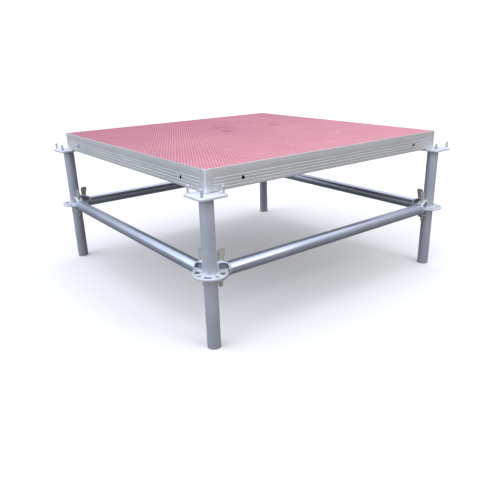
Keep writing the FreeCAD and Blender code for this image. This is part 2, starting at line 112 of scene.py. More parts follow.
class Corner(Turned):
    """Corner of the deck, counted from the front left one."""

    FRONT_LEFT = ("front_left", 0)
    FRONT_RIGHT = ("front_right", 1)
    BACK_RIGHT = ("back_right", 2)
    BACK_LEFT = ("back_left", 3)


class Side(Turned):
    """Side of the deck, counted from the front, with its two ends in order."""

    FRONT = ("front", 0, ("left", "right"))
    RIGHT = ("right", 1, ("front", "back"))
    BACK = ("back", 2, ("right", "left"))
    LEFT = ("left", 3, ("back", "front"))

    @property
    def ends(self) -> tuple[str, str]:
        """Names of the side's two ends, the one at the local -X end first."""
        return self.value[2]

    @property
    def axis(self) -> Axis:
        """Direction that the side runs along."""
        return Axis.Y if self.quarters % 2 else Axis.X


# ---------------------------------------------------------------- places and shells


@dataclass(frozen=True)
class Place:
    """Where a local shape stands: quarter turns about +Z, then a move.

    Attributes:
        x, y, z: where the local origin goes.
        quarters: quarter turns about +Z, taken first.
    """

    x: float
    y: float
    z: float
    quarters: int = 0

    def put(self, points: Points) -> Points:
        """Move local points into the frame.

        Args:
            points: array whose last axis is x, y, z.

        Returns:
            The placed points, in an array of the same shape.
        """
        cos, sin = ((1, 0), (0, 1), (-1, 0), (0, -1))[self.quarters % 4]
        x, y, z = np.moveaxis(points, -1, 0)
        turned = (x * cos - y * sin + self.x, x * sin + y * cos + self.y, z + self.z)
        return np.stack(turned, axis=-1)

    def take(self, points: Points) -> Points:
        """Bring the frame's points back to the local frame."""
        home = points - (self.x, self.y, self.z)
        return Place(0, 0, 0, -self.quarters).put(home)


def node_place(node: str, quarters: int = 0) -> Place:
    """Place at the middle of a node's footprint and at its lowest height."""
    low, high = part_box(node)
    return Place((low.x + high.x) / 2, (low.y + high.y) / 2, low.z, quarters)


class Shell:
    """Surface patches that together close one piece."""

    def __init__(self) -> None:
        """Start with no patch."""
        self.points: list[Points] = []
        self.faces: list[Points] = []
        self.count = 0

    def add(self, points: Points, faces: Points) -> "Shell":
        """Add points and the faces between them.

        Args:
            points: any array whose last axis is x, y, z.
            faces: rows of point numbers, three or four a row.

        Returns:
            The shell itself.
        """
        self.points.append(points.reshape(-1, 3))
        self.faces.append(faces + self.count)
        self.count += len(self.points[-1])
        return self

    def grid(self, points: Points, wrap_rows: bool = False, wrap_columns: bool = True) -> "Shell":
        """Add a surface worked out on a grid.

        Args:
            points: rows by columns by x, y, z.
            wrap_rows: join the last row to the first.
            wrap_columns: join the last column to the first.

        Returns:
            The shell itself.
        """
        rows, columns = points.shape[:2]
        index = np.arange(rows * columns).reshape(rows, columns)
        if wrap_columns:
            index = np.concatenate([index, index[:, :1]], axis=1)
        if wrap_rows:
            index = np.concatenate([index, index[:1]], axis=0)
        quads = [index[:-1, :-1], index[:-1, 1:], index[1:, 1:], index[1:, :-1]]
        return self.add(points, np.stack(quads, axis=-1).reshape(-1, 4))

    def fill(self, loops: Sequence[Points]) -> "Shell":
        """Add the flat region inside the first loop and outside the others."""
        corners = [[Vector(point) for point in loop] for loop in loops]
        return self.add(np.concatenate(loops), np.array(tessellate_polygon(corners)))

    def join(self, other: "Shell", place: Place) -> "Shell":
        """Add another shell's patches at a place.

        Args:
            other: the shell to copy.
            place: where the copy goes.

        Returns:
            The shell itself.
        """
        points = place.put(np.concatenate(other.points))
        self.faces += [faces + self.count for faces in other.faces]
        self.points.append(points)
        self.count += len(points)
        return self

    def stand(self, name: str, place: Place) -> bpy.types.Object:
        """Build the shell at a place, under a name."""
        return Shell().join(self, place).build(name)

    def build(self, name: str) -> bpy.types.Object:
        """Turn the patches into a mesh object with merged seams and outward faces.

        Args:
            name: the object's name.

        Returns:
            The object, linked to the scene, at the origin.
        """
        sizes = np.concatenate([np.full(len(faces), faces.shape[1]) for faces in self.faces])
        mesh = bpy.data.meshes.new(name)
        mesh.vertices.add(self.count)
        mesh.vertices.foreach_set("co", np.concatenate(self.points).astype(np.float32).ravel())
        mesh.loops.add(int(sizes.sum()))
        corners = np.concatenate([faces.ravel() for faces in self.faces])
        mesh.loops.foreach_set("vertex_index", corners.astype(np.int32))
        mesh.polygons.add(len(sizes))
        mesh.polygons.foreach_set("loop_start", (np.cumsum(sizes) - sizes).astype(np.int32))
        mesh.update(calc_edges=True)
        tidy_mesh(mesh)
        piece = bpy.data.objects.new(name, mesh)
        bpy.context.scene.collection.objects.link(piece)
        return piece


def tidy_mesh(mesh: bpy.types.Mesh) -> None:
    """Merge a mesh's doubles, point its faces outwards and smooth its shallow edges.

    Args:
        mesh: the mesh to change.
    """
    welded = bmesh.new()
    welded.from_mesh(mesh)
    bmesh.ops.remove_doubles(welded, verts=welded.verts, dist=WELD_DISTANCE)
    bmesh.ops.recalc_face_normals(welded, faces=welded.faces)
    welded.to_mesh(mesh)
    welded.free()
    mesh.shade_smooth()
    mesh.set_sharp_from_angle(angle=SMOOTH_BELOW)


def carve(piece: bpy.types.Object, cutter: bpy.types.Object) -> None:
    """Cut one closed piece out of another and remove the cutter.

    Args:
        piece: the piece that loses material.
        cutter: a closed mesh where material goes.
    """
    cut = piece.modifiers.new("carve", "BOOLEAN")
    cut.object = cutter
    cut.operation = "DIFFERENCE"
    cut.solver = "EXACT"
    graph = bpy.context.evaluated_depsgraph_get()
    carved = bpy.data.meshes.new_from_object(piece.evaluated_get(graph))
    piece.modifiers.clear()
    piece.data = carved
    tidy_mesh(carved)
    bpy.data.objects.remove(cutter)


# ---------------------------------------------------------------- outlines and surfaces


def rounded_outline(corners: Sequence[tuple[float, float, float]], steps: int = 6) -> Points:
    """Closed outline whose corners are arcs.

    A corner of half angle h and radius r has its arc's centre r / sin(h) along
    the corner's bisector, and the arc is the spherical blend of its two ends.

    Args:
        corners: u, v and radius of each corner, in order.
        steps: points on each arc.

    Returns:
        Points by u, v.
    """
    data = np.asarray(corners, float)
    here = data[:, :2]
    back = np.roll(here, 1, axis=0) - here
    ahead = np.roll(here, -1, axis=0) - here
    back /= np.linalg.norm(back, axis=1, keepdims=True)
    ahead /= np.linalg.norm(ahead, axis=1, keepdims=True)
    half = np.arccos(np.clip((back * ahead).sum(1), -1, 1))[:, None] / 2
    radius = data[:, 2:]
    bisector = (back + ahead) / np.linalg.norm(back + ahead, axis=1, keepdims=True)
    centre = here + bisector * radius / np.sin(half)
    start = (here + back * radius / np.tan(half) - centre)[:, None]
    stop = (here + ahead * radius / np.tan(half) - centre)[:, None]
    turn = (np.pi - 2 * half)[:, None]
    share = np.linspace(0, 1, steps)[None, :, None]
    arc = (np.sin((1 - share) * turn) * start + np.sin(share * turn) * stop) / np.sin(turn)
    return (centre[:, None] + arc).reshape(-1, 2)


def rectangle(half_u: float, half_v: float, radius: float, steps: int = 6) -> Points:
    """Rectangle about the origin with rounded corners."""
    signs = ((1, -1), (1, 1), (-1, 1), (-1, -1))
    return rounded_outline([(u * half_u, v * half_v, radius) for u, v in signs], steps)


def inset(loop: Points, distance: float) -> Points:
    """Move an anticlockwise loop inwards along its own normals.

    Args:
        loop: points by u, v.
        distance: how far each point moves.

    Returns:
        The moved loop.
    """
    along = np.roll(loop, -1, axis=0) - np.roll(loop, 1, axis=0)
    along /= np.linalg.norm(along, axis=1, keepdims=True)
    return loop + distance * np.stack([-along[:, 1], along[:, 0]], axis=1)


def at_height(loop: Points, height: float) -> Points:
    """Lift a flat loop to a height."""
    return np.concatenate([loop, np.full((len(loop), 1), height)], axis=1)


def slab(outline: Points, low: float, high: float, edge: float, steps: int = 4) -> Points:
    """Plate with quarter-round edges, as rows from its top centre to its bottom centre.

    At an angle a of the edge's quarter circle the outline is moved in by
    edge * (1 - sin a) and lies edge * (1 - cos a) inside the face.

    Args:
        outline: anticlockwise loop, star shaped about its mean.
        low, high: heights of the two faces.
        edge: radius of the rounded edges.
        steps: rows in each quarter circle.

    Returns:
        Rows by loop points by x, y, z.
    """
    angle = np.linspace(0, np.pi / 2, steps)
    insets, drops = edge * (1 - np.sin(angle)), edge * (1 - np.cos(angle))
    middle = np.repeat(outline.mean(axis=0, keepdims=True), len(outline), axis=0)
    upper = [at_height(inset(outline, move), high - drop) for move, drop in zip(insets, drops)]
    lower = [at_height(inset(outline, move), low + drop) for move, drop in zip(insets, drops)]
    return np.stack([at_height(middle, high), *upper, *lower[::-1], at_height(middle, low)])


def lathe(profile: Sequence[tuple[float, float]] | Points, segments: int = 96) -> Points:
    """Turn a profile of radius and height about +Z: each profile point becomes a circle.

    Args:
        profile: rows of radius and height.
        segments: points round each circle.

    Returns:
        Rows by segments by x, y, z.
    """
    outline = np.asarray(profile, float)
    angle = np.arange(segments) * 2 * np.pi / segments
    around = np.stack([np.cos(angle), np.sin(angle)], axis=1)
    flat = outline[:, None, :1] * around[None]
    height = np.broadcast_to(outline[:, None, 1:], (*flat.shape[:2], 1))
    return np.concatenate([flat, height], axis=-1)


def laid(points: Points, axis: Axis) -> Points:
    """Turn a shape made about +Z so that it is about another axis, keeping its hand."""
    return np.roll(points, (axis.value + 1) % 3, axis=-1)


def tube_profile(outer: float, wall: float, low: float, high: float, edge: float) -> Points:
    """Closed radius and height outline of a tube's wall, with rounded lips.

    Args:
        outer, wall: outside radius and wall.
        low, high: heights of the ends.
        edge: radius of the lips.

    Returns:
        Points by radius, height.
    """
    inner = outer - wall
    corners = [(outer, low, edge), (outer, high, edge), (inner, high, edge), (inner, low, edge)]
    return rounded_outline(corners, 4)


def drawn_out(loop: Points, ends: Sequence[float]) -> Points:
    """Extrude a y, z loop along X: one row of it at each x of the ends."""
    return np.stack([np.concatenate([np.full((len(loop), 1), x), loop], axis=1) for x in ends])


def square_edge(per_side: int) -> Points:
    """Points round the square from -1 to 1, anticlockwise, corners included.

    Args:
        per_side: points on each side.

    Returns:
        Points by u, v.
    """
    share = np.linspace(-1, 1, per_side, endpoint=False)
    one = np.ones_like(share)
    sides = [(one, share), (-share, one), (-one, -share), (share, -one)]
    return np.concatenate([np.stack(side, axis=1) for side in sides])


def pulled_round(square: Points, half_u: float, half_v: float, radius: float) -> Points:
    """Stretch the square to a rectangle and pull its corners onto their rounding circles.

    Args:
        square: points round the square.
        half_u, half_v: halves of the sides.
        radius: rounding of the corners.

    Returns:
        Points by u, v.
    """
    half = np.array([half_u, half_v])
    core = np.clip(square * half, radius - half, half - radius)
    away = square * half - core
    return core + radius * away / np.linalg.norm(away, axis=1, keepdims=True)


def holed_cell(
    hole: Callable[[float], Points], border: Points, half: float, edge: float
) -> Points:
    """Plate cell with a hole, as rows from its lower border through it to its upper one.

    Args:
        hole: gives the hole's outline, grown by a distance.
        border: outline of the cell, with as many points as the hole.
        half: half the plate's thickness.
        edge: radius of the hole's rounded edges.

    Returns:
        Rows by outline points by x, y, z.
    """
    angle = np.linspace(0, np.pi / 2, 4)
    grown = [hole(edge * (1 - share)) for share in np.sin(angle)]
    heights = half - edge * (1 - np.cos(angle))
    lower = [at_height(loop, -height) for loop, height in zip(grown, heights)]
    upper = [at_height(loop, height) for loop, height in zip(grown, heights)]
    return np.stack([at_height(border, -half), *lower, *upper[::-1], at_height(border, half)])


def bead_ring(radius: float, height: float, throat: float) -> Points:
    """Weld bead round a tube: a torus whose section swells once for each ripple.

    Args:
        radius, height: place of the seam.
        throat: radius of the bead.

    Returns:
        Points round the seam by points round the bead by x, y, z.
    """
    ripples = round(2 * np.pi * radius / RIPPLE)
    turn = np.linspace(0, 2 * np.pi, ripples * 5, endpoint=False)[:, None]
    section = np.linspace(0, 2 * np.pi, 12, endpoint=False)[None, :]
    ripple = 0.9 + 0.16 * np.abs(np.sin(turn * ripples / 2))
    swell = throat * (ripple + 0.06 * np.sin(3 * turn + 1))
    reach = radius + swell * np.cos(section)
    lift = height + swell * np.sin(section) + 0 * turn
    return np.stack([reach * np.cos(turn), reach * np.sin(turn), lift], axis=-1)


def bead_line(start: Sequence[float], stop: Sequence[float], throat: float) -> Points:
    """Straight weld bead: a rippled round section whose radius falls to nothing at both ends.

    Args:
        start, stop: ends of the seam.
        throat: radius of the bead.

    Returns:
        Rows along the seam by points round the bead by x, y, z.
    """
    first, last = np.array(start, float), np.array(stop, float)
    length = np.linalg.norm(last - first)
    along = (last - first) / length
    side = np.cross(along, (1, 1, 1)) / np.linalg.norm(np.cross(along, (1, 1, 1)))
    other = np.cross(along, side)
    share = np.linspace(0, 1, max(12, round(length / MM)))[:, None, None]
    section = np.linspace(0, 2 * np.pi, 10, endpoint=False)[None, :, None]
    ripple = 0.9 + 0.15 * np.abs(np.sin(share * length / RIPPLE * np.pi))
    radius = throat * ripple * np.sqrt(np.clip(1 - (2 * share - 1) ** 8, 0, 1))
    around = np.cos(section) * side + np.sin(section) * other
    return first + (last - first) * share + radius * around


# ---------------------------------------------------------------- cast shapes from a field


def soft_union(first: Points, second: Points, blend: float) -> Points:
    """Union of two distance fields with a fillet: a smooth minimum over the blend distance."""
    share = np.clip(0.5 + 0.5 * (second - first) / blend, 0, 1)
    return second * (1 - share) + first * share - blend * share * (1 - share)


def soft_cut(body: Points, tool: Points, blend: float) -> Points:
    """Take a tool's field out of a body's, with rounded edges."""
    return -soft_union(-body, tool, blend)


def box_field(at: Points, low: Sequence[float], high: Sequence[float]) -> Points:
    """Distance to an upright box: the overshoot's length outside, the nearest wall inside.

    Args:
        at: points whose last axis is x, y, z.
        low, high: corners of the box.

    Returns:
        Distance at each point, negative inside.
    """
    middle, half = (np.add(low, high)) / 2, (np.subtract(high, low)) / 2
    over = np.abs(at - middle) - half
    outside = np.linalg.norm(np.maximum(over, 0), axis=-1)
    return outside + np.minimum(over.max(axis=-1), 0)


def settle_on(field_of: Callable[[Points], Points], points: Points) -> Points:
    """Move points onto a field's zero with three Newton steps along its gradient.

    Args:
        field_of: distance field.
        points: rows of x, y, z near its zero.

    Returns:
        The moved points.
    """
    probe, longest, flattest = 0.05 * MM, 0.4 * MM, 0.05
    for _ in range(3):
        level = field_of(points)
        steps = [(field_of(points + probe * unit) - level) / probe for unit in np.eye(3)]
        slope = np.stack(steps, axis=-1)
        size = np.maximum((slope**2).sum(-1, keepdims=True), flattest)
        points = points - np.clip(level[:, None] * slope / size, -longest, longest)
    return points


def cast_shell(
    field_of: Callable[[Points], Points], low: Points, high: Points, cell: float
) -> Shell:
    """Closed surface where a field is zero.

    Every grid cell that the surface crosses gets one point, the mean of the
    crossings on its edges, and every crossed edge a face between its four cells.

    Args:
        field_of: distance field, negative inside, on an array of points.
        low, high: corners of a box that holds the whole surface.
        cell: size of the grid's cells.

    Returns:
        The surface as a shell.
    """
    lines = [np.arange(a - 2 * cell, b + 3 * cell, cell) for a, b in zip(low, high)]
    at = np.stack(np.meshgrid(*lines, indexing="ij"), axis=-1)
    level = field_of(at)
    inside = level < 0
    cells = np.array(level.shape) - 1
    total, hits = np.zeros((*cells, 3)), np.zeros(cells)
    crossings = []
    for axis in range(3):
        near, far = ([slice(None)] * 3 for _ in range(2))
        near[axis], far[axis] = slice(None, -1), slice(1, None)
        near, far = tuple(near), tuple(far)
        crossed = inside[near] != inside[far]
        gap = np.where(crossed, level[near] - level[far], 1)
        point = at[near] + (level[near] / gap)[..., None] * (at[far] - at[near])
        crossings.append((axis, crossed, inside[near]))
        for shift in np.ndindex(*(1 if k == axis else 2 for k in range(3))):
            part = tuple(slice(start, start + cells[k]) for k, start in enumerate(shift))
            total += np.where(crossed[part][..., None], point[part], 0)
            hits += crossed[part]
    used = hits > 0
    number = np.cumsum(used.ravel()).reshape(used.shape) - 1
    points = settle_on(field_of, total[used] / hits[used][:, None])
    shell = Shell()
    quads = [crossing_faces(number, *crossing) for crossing in crossings]
    return shell.add(points, np.concatenate(quads))


def crossing_faces(number: Points, axis: int, crossed: Points, from_inside: Points) -> Points:
    """Faces between the four cells round each crossed edge, turned to face outwards.

    Args:
        number: number of each cell's point.
        axis: direction of the edges.
        crossed: which edges the surface crosses.
        from_inside: which edges start inside.

    Returns:
        Rows of four point numbers.
    """
    spot = np.argwhere(crossed)
    first, second = (axis + 1) % 3, (axis + 2) % 3
    corners = []
    for a, b in ((-1, -1), (0, -1), (0, 0), (-1, 0)):
        cell = spot.copy()
        cell[:, first] += a
        cell[:, second] += b
        corners.append(number[tuple(cell.T)])
    quads = np.stack(corners, axis=1)
    return np.where(from_inside[crossed][:, None], quads, quads[:, ::-1])


# ---------------------------------------------------------------- shader maths


class Value:
    """A number on a shader socket, with operators that add Math nodes."""

    def __init__(self, graph: "Graph", socket: bpy.types.NodeSocket) -> None:
        """Wrap a socket of a graph."""
        self.graph = graph
        self.socket = socket

    def _math(self, operation: str, *numbers: "Value | float") -> "Value":
        """Add one Math node that works on this number and the others."""
        feeds = dict(enumerate((self, *numbers)))
        return self.graph.value("ShaderNodeMath", {"operation": operation}, feeds)

    def __rsub__(self, other: float) -> "Value":
        """A plain number less this one."""
        feeds = {0: other, 1: self}
        return self.graph.value("ShaderNodeMath", {"operation": "SUBTRACT"}, feeds)

    __add__ = __radd__ = partialmethod(_math, "ADD")
    __sub__ = partialmethod(_math, "SUBTRACT")
    __mul__ = __rmul__ = partialmethod(_math, "MULTIPLY")
    __pow__ = partialmethod(_math, "POWER")
    __abs__ = partialmethod(_math, "ABSOLUTE")
    root = partialmethod(_math, "SQRT")
    least = partialmethod(_math, "MINIMUM")
    most = partialmethod(_math, "MAXIMUM")

    def folded(self, period: float) -> "Value":
        """The number brought into half a period each side of zero."""
        return self._math("WRAP", period / 2, -period / 2)

    def ramp(self, low: float, high: float) -> "Value":
        """Zero below low, one above high, and a smooth step between; low may be the larger.

        Args:
            low, high: where the step starts and ends.

        Returns:
            The step.
        """
        settings = {"interpolation_type": "SMOOTHSTEP"}
        flip = low > high
        ends = (min(low, high), max(low, high), float(flip), float(not flip))
        feeds = dict(enumerate((self, *ends)))
        return self.graph.value("ShaderNodeMapRange", settings, feeds)


class Graph:
    """The shader of one finish, or of the surroundings."""

    def __init__(
        self, owner: bpy.types.ID, shader: str = "Principled BSDF", coordinates: str = "Object"
    ) -> None:
        """Start the shader.

        Args:
            owner: the new material or world.
            shader: name of its shader node.
            coordinates: which coordinates its patterns read.
        """
        self.owner = owner
        owner.use_nodes = True
        self.tree = owner.node_tree
        self.shader = self.tree.nodes[shader]
        self.place = self.node("ShaderNodeTexCoord").outputs[coordinates]
        split = self.node("ShaderNodeSeparateXYZ", {}, {0: self.place})
        self.x, self.y, self.z = (Value(self, split.outputs[k]) for k in range(3))

    def node(
        self, kind: str, settings: dict | None = None, feeds: dict | None = None
    ) -> bpy.types.Node:
        """Add one node.

        Args:
            kind: the node's type.
            settings: the node's own properties.
            feeds: values or links by input name or number.

        Returns:
            The node.
        """
        made = self.tree.nodes.new(kind)
        for name, setting in (settings or {}).items():
            setattr(made, name, setting)
        for key, given in (feeds or {}).items():
            self.feed(made.inputs[key], given)
        return made

    def feed(self, socket: bpy.types.NodeSocket, given: object) -> None:
        """Link a socket to a value or another socket, or set its constant.

        Args:
            socket: the input.
            given: a number, a socket or a constant.
        """
        if isinstance(given, Value):
            given = given.socket
        if isinstance(given, bpy.types.NodeSocket):
            self.tree.links.new(given, socket)
        else:
            socket.default_value = given

    def value(self, kind: str, settings: dict, feeds: dict, output: int | str = 0) -> Value:
        """Add a node and wrap one of its outputs as a number."""
        return Value(self, self.node(kind, settings, feeds).outputs[output])

    def stretched(self, scale: tuple[float, float, float]) -> bpy.types.NodeSocket:
        """Object coordinates scaled along each axis."""
        feeds = {"Vector": self.place, "Scale": scale}
        return self.node("ShaderNodeMapping", {}, feeds).outputs[0]

    def noise(
        self, scale: float, detail: float = 3, stretch: tuple[float, float, float] = (1, 1, 1)
    ) -> Value:
        """Fractal noise from 0 to 1.

        Args:
            scale: features a metre.
            detail: how many finer layers it has.
            stretch: how much closer its features lie along each axis.

        Returns:
            The noise.
        """
        feeds = {"Vector": self.stretched(stretch), "Scale": scale, "Detail": detail}
        return self.value("ShaderNodeTexNoise", {}, {**feeds, "Roughness": 0.55})

    def cells(self, scale: float) -> Value:
        """A flat random shade for each cell of a crystal pattern.

        Args:
            scale: cells a metre.

        Returns:
            The shade.
        """
        made = self.node("ShaderNodeTexVoronoi", {}, {"Vector": self.place, "Scale": scale})
        split = self.node("ShaderNodeSeparateColor", {}, {0: made.outputs["Color"]})
        return Value(self, split.outputs[0])

    def attribute(self, name: str) -> Value:
        """A number that the piece's mesh carries at its vertices."""
        settings = {"attribute_type": "GEOMETRY", "attribute_name": name}
        return self.value("ShaderNodeAttribute", settings, {}, "Fac")

    def lines(self, axis: Axis, across: float, along: float) -> Value:
        """Noise drawn out along an axis, like the die lines of an extrusion.

        Args:
            axis: direction of the lines.
            across, along: features a metre each way.

        Returns:
            The noise.
        """
        stretch = [1.0, 1.0, 1.0]
        stretch[axis.value] = along / across
        return self.noise(across, 2, tuple(stretch))

    def mix(self, share: Value | float, first: object, second: object) -> bpy.types.NodeSocket:
        """Colour between two colours."""
        settings = {"data_type": "RGBA", "clamp_factor": True}
        return self.node("ShaderNodeMix", settings, {0: share, 6: first, 7: second}).outputs[2]

    def bump(self, height: Value, distance: float, strength: float = 1.0) -> None:
        """Feed the shader's normal with a height in units of a distance.

        Args:
            height: the surface's height.
            distance: what a height of one is.
            strength: how much of it shows.
        """
        feeds = {"Height": height, "Distance": distance, "Strength": strength}
        bumped = self.node("ShaderNodeBump", {}, feeds)
        self.feed(self.shader.inputs["Normal"], bumped.outputs[0])

    def dress(self, **feeds: object) -> bpy.types.ID:
        """Feed the shader's sockets, named with underscores for spaces, and give the owner.

        Args:
            feeds: what each socket takes.

        Returns:
            The material or the world.
        """
        for name, given in feeds.items():
            self.feed(self.shader.inputs[name.replace("_", " ")], given)
        return self.owner


# ---------------------------------------------------------------- finishes

PALE_WARM_STREAK = srgb(208, 198, 180)
HOLLOW_SHADE_BLACK = srgb(30, 30, 32)
EDGE_HIGHLIGHT = srgb(250, 251, 254)
STRUCK = srgb(196, 198, 198)
PLY_PALE, PLY_DARK = srgb(196, 158, 112), srgb(146, 104, 66)
UNDER_DARK, UNDER_PALE = srgb(66, 40, 30), srgb(84, 54, 40)
VALLEY_SHADED, VALLEY_LIT = srgb(150, 66, 86), srgb(178, 82, 102)
TOP_SHADED, TOP_LIT = srgb(210, 142, 157), srgb(237, 178, 185)
SMUDGE = srgb(158, 52, 80)


@dataclass(frozen=True)
class Finish:
    """Look of one surface."""

    name: str

    def graph(self) -> Graph:
        """Start the shader of a new material."""
        return Graph(bpy.data.materials.new(self.name))

    def material(self) -> bpy.types.Material:
        """Build the material."""
        return self.graph().owner


@dataclass(frozen=True)
class Metal(Finish):
    """Metal that varies between two greys, light and dark."""

    light: Colour
    dark: Colour


@dataclass(frozen=True)
class ZincCoat(Metal):
    """Zinc on steel: clouds of two greys, faint crystals, and a roughness that follows them.

    Attributes:
        metallic: how much it reflects as metal.
        roughness: its middle roughness.
        clouds: cloud features a metre.
        grain: height of the fine surface grain.
        streak_top: height under which pale warm streaks start, or None.
    """

    metallic: float = 0.55
    roughness: float = 0.42
    clouds: float = 9.0
    grain: float = 0.05 * MM
    streak_top: float | None = None

    def material(self) -> bpy.types.Material:
        """Build the material."""
        graph = self.graph()
        cloud = graph.noise(self.clouds, 4)
        fine = graph.noise(self.clouds * 25, 2)
        shade = cloud.ramp(0.3, 0.72) * 0.66 + graph.cells(220) * 0.16 + fine * 0.18
        colour = graph.mix(shade, self.dark, self.light)
        rough = self.roughness - 0.05 + cloud * 0.07 + fine * 0.03
        if self.streak_top is not None:
            # Pale warm streaks down the tube from under the rosette.
            streaks = graph.lines(Axis.Z, 120, 7).ramp(0.5, 0.66)
            under = graph.z.ramp(self.streak_top - 0.10, self.streak_top - 0.02)
            top = graph.z.ramp(self.streak_top, self.streak_top - 0.006)
            pale_streak = streaks * under * top
            colour = graph.mix(pale_streak * 0.6, colour, PALE_WARM_STREAK)
            rough = rough + pale_streak * 0.15
        graph.bump(fine + graph.noise(900, 1) * 0.5, self.grain)
        return graph.dress(Base_Color=colour, Roughness=rough, Metallic=self.metallic)


@dataclass(frozen=True)
class Extrusion(Metal):
    """Mill-finish aluminium with die lines along it and scuffs across them.

    Attributes:
        axis: direction of the die lines.
        roughness: its middle roughness.
        hollow: nearest and farthest reach from the middle of a hollow painted near black as
            shade, and its heights.
    """

    axis: Axis
    roughness: float = 0.46
    hollow: tuple[float, float, float, float] | None = None

    def hollow_shade(self, graph: Graph) -> Value:
        """Share of painted shade: one inside the hollow, zero elsewhere.

        Args:
            graph: the material's shader.

        Returns:
            The share of painted shade.
        """
        near, far, low, high = self.hollow
        edge = 0.1 * MM
        reach = abs(graph.x if self.axis is Axis.Y else graph.y)
        across = reach.ramp(near - edge, near) * reach.ramp(far + edge, far)
        return across * graph.z.ramp(low - edge, low) * graph.z.ramp(high + edge, high)

    def material(self) -> bpy.types.Material:
        """Build the material."""
        graph = self.graph()
        drawn = graph.lines(self.axis, 900, 5)
        bands = graph.lines(self.axis, 130, 1.5)
        cloud = graph.noise(7, 4)
        scuffs = graph.noise(60, 5).ramp(0.6, 0.72)
        shade = drawn * 0.35 + bands * 0.4 + cloud * 0.25
        colour = graph.mix(shade.ramp(0.3, 0.7), self.dark, self.light)
        colour = graph.mix(scuffs * 0.25, colour, self.light)
        if self.hollow is not None:
            # Painted shade: the inside of the rail's hollow goes near black.
            colour = graph.mix(self.hollow_shade(graph), colour, HOLLOW_SHADE_BLACK)
        rough = self.roughness - 0.06 + drawn * 0.12 + scuffs * 0.14
        graph.bump(drawn + bands * 0.6 + scuffs * 0.4, 0.04 * MM)
        return graph.dress(Base_Color=colour, Roughness=rough, Metallic=0.5)


@dataclass(frozen=True)
class Casting(Metal):
    """Grainy cast metal, its rims lighter than its pockets where the mesh says so: part rubbed
    wear, part painted shade in the pockets.

    Attributes:
        roughness: its middle roughness.
        grain: height of the sand grain.
        metallic: how much it reflects as metal.
        rim: colour of the rims, part rubbed wear and lighter than the painted shade in the
            pockets, or None.
        edge_highlight_from: reach along X and Y together from which an upright edge gets a
            painted highlight, or None.
    """

    roughness: float = 0.5
    grain: float = 0.25 * MM
    metallic: float = 0.6
    rim: Colour | None = None
    edge_highlight_from: float | None = None

    def material(self) -> bpy.types.Material:
        """Build the material."""
        graph = self.graph()
        sand = graph.noise(650, 3)
        cloud = graph.noise(45, 4)
        shade = (cloud * 0.7 + sand * 0.3).ramp(0.32, 0.68)
        colour = graph.mix(shade, self.dark, self.light)
        if self.rim is not None:
            # Painted shade: the pockets keep the dark colour while the rims near the outer
            # surface turn light, part rubbed wear.
            rim_wear_and_pocket_shade = (graph.attribute("rim") + (cloud - 0.5) * 0.3).ramp(0.35, 0.8)
            colour = graph.mix(rim_wear_and_pocket_shade, colour, self.rim)
        if self.edge_highlight_from is not None:
            # Painted highlight: a near-white line down the post's outer upright edge.
            worn = (abs(graph.x) + abs(graph.y)).ramp(self.edge_highlight_from, self.edge_highlight_from + 2 * MM)
            colour = graph.mix(worn, colour, EDGE_HIGHLIGHT)
        graph.bump(sand + cloud * 0.8, self.grain, 0.7)
        rough = self.roughness - 0.1 + sand * 0.2
        return graph.dress(Base_Color=colour, Roughness=rough, Metallic=self.metallic)


@dataclass(frozen=True)
class HammeredPlate(Metal):
    """Dull plated wedge steel, dented and bright at the top where the hammer lands."""

    top: float

    def material(self) -> bpy.types.Material:
        """Build the material."""
        graph = self.graph()
        cloud = graph.noise(60, 4)
        fine = graph.noise(700, 2)
        struck = graph.z.ramp(self.top - 0.010, self.top - 0.001)
        dents = graph.noise(320, 2).ramp(0.35, 0.6)
        colour = graph.mix((cloud * 0.8 + fine * 0.2).ramp(0.3, 0.7), self.dark, self.light)
        colour = graph.mix(struck * (0.35 + dents * 0.3), colour, STRUCK)
        graph.bump(fine * 0.5 + struck * dents * 2.5, 0.15 * MM)
        rough = 0.46 + fine * 0.1 - struck * 0.12
        return graph.dress(Base_Color=colour, Roughness=rough, Metallic=0.5)


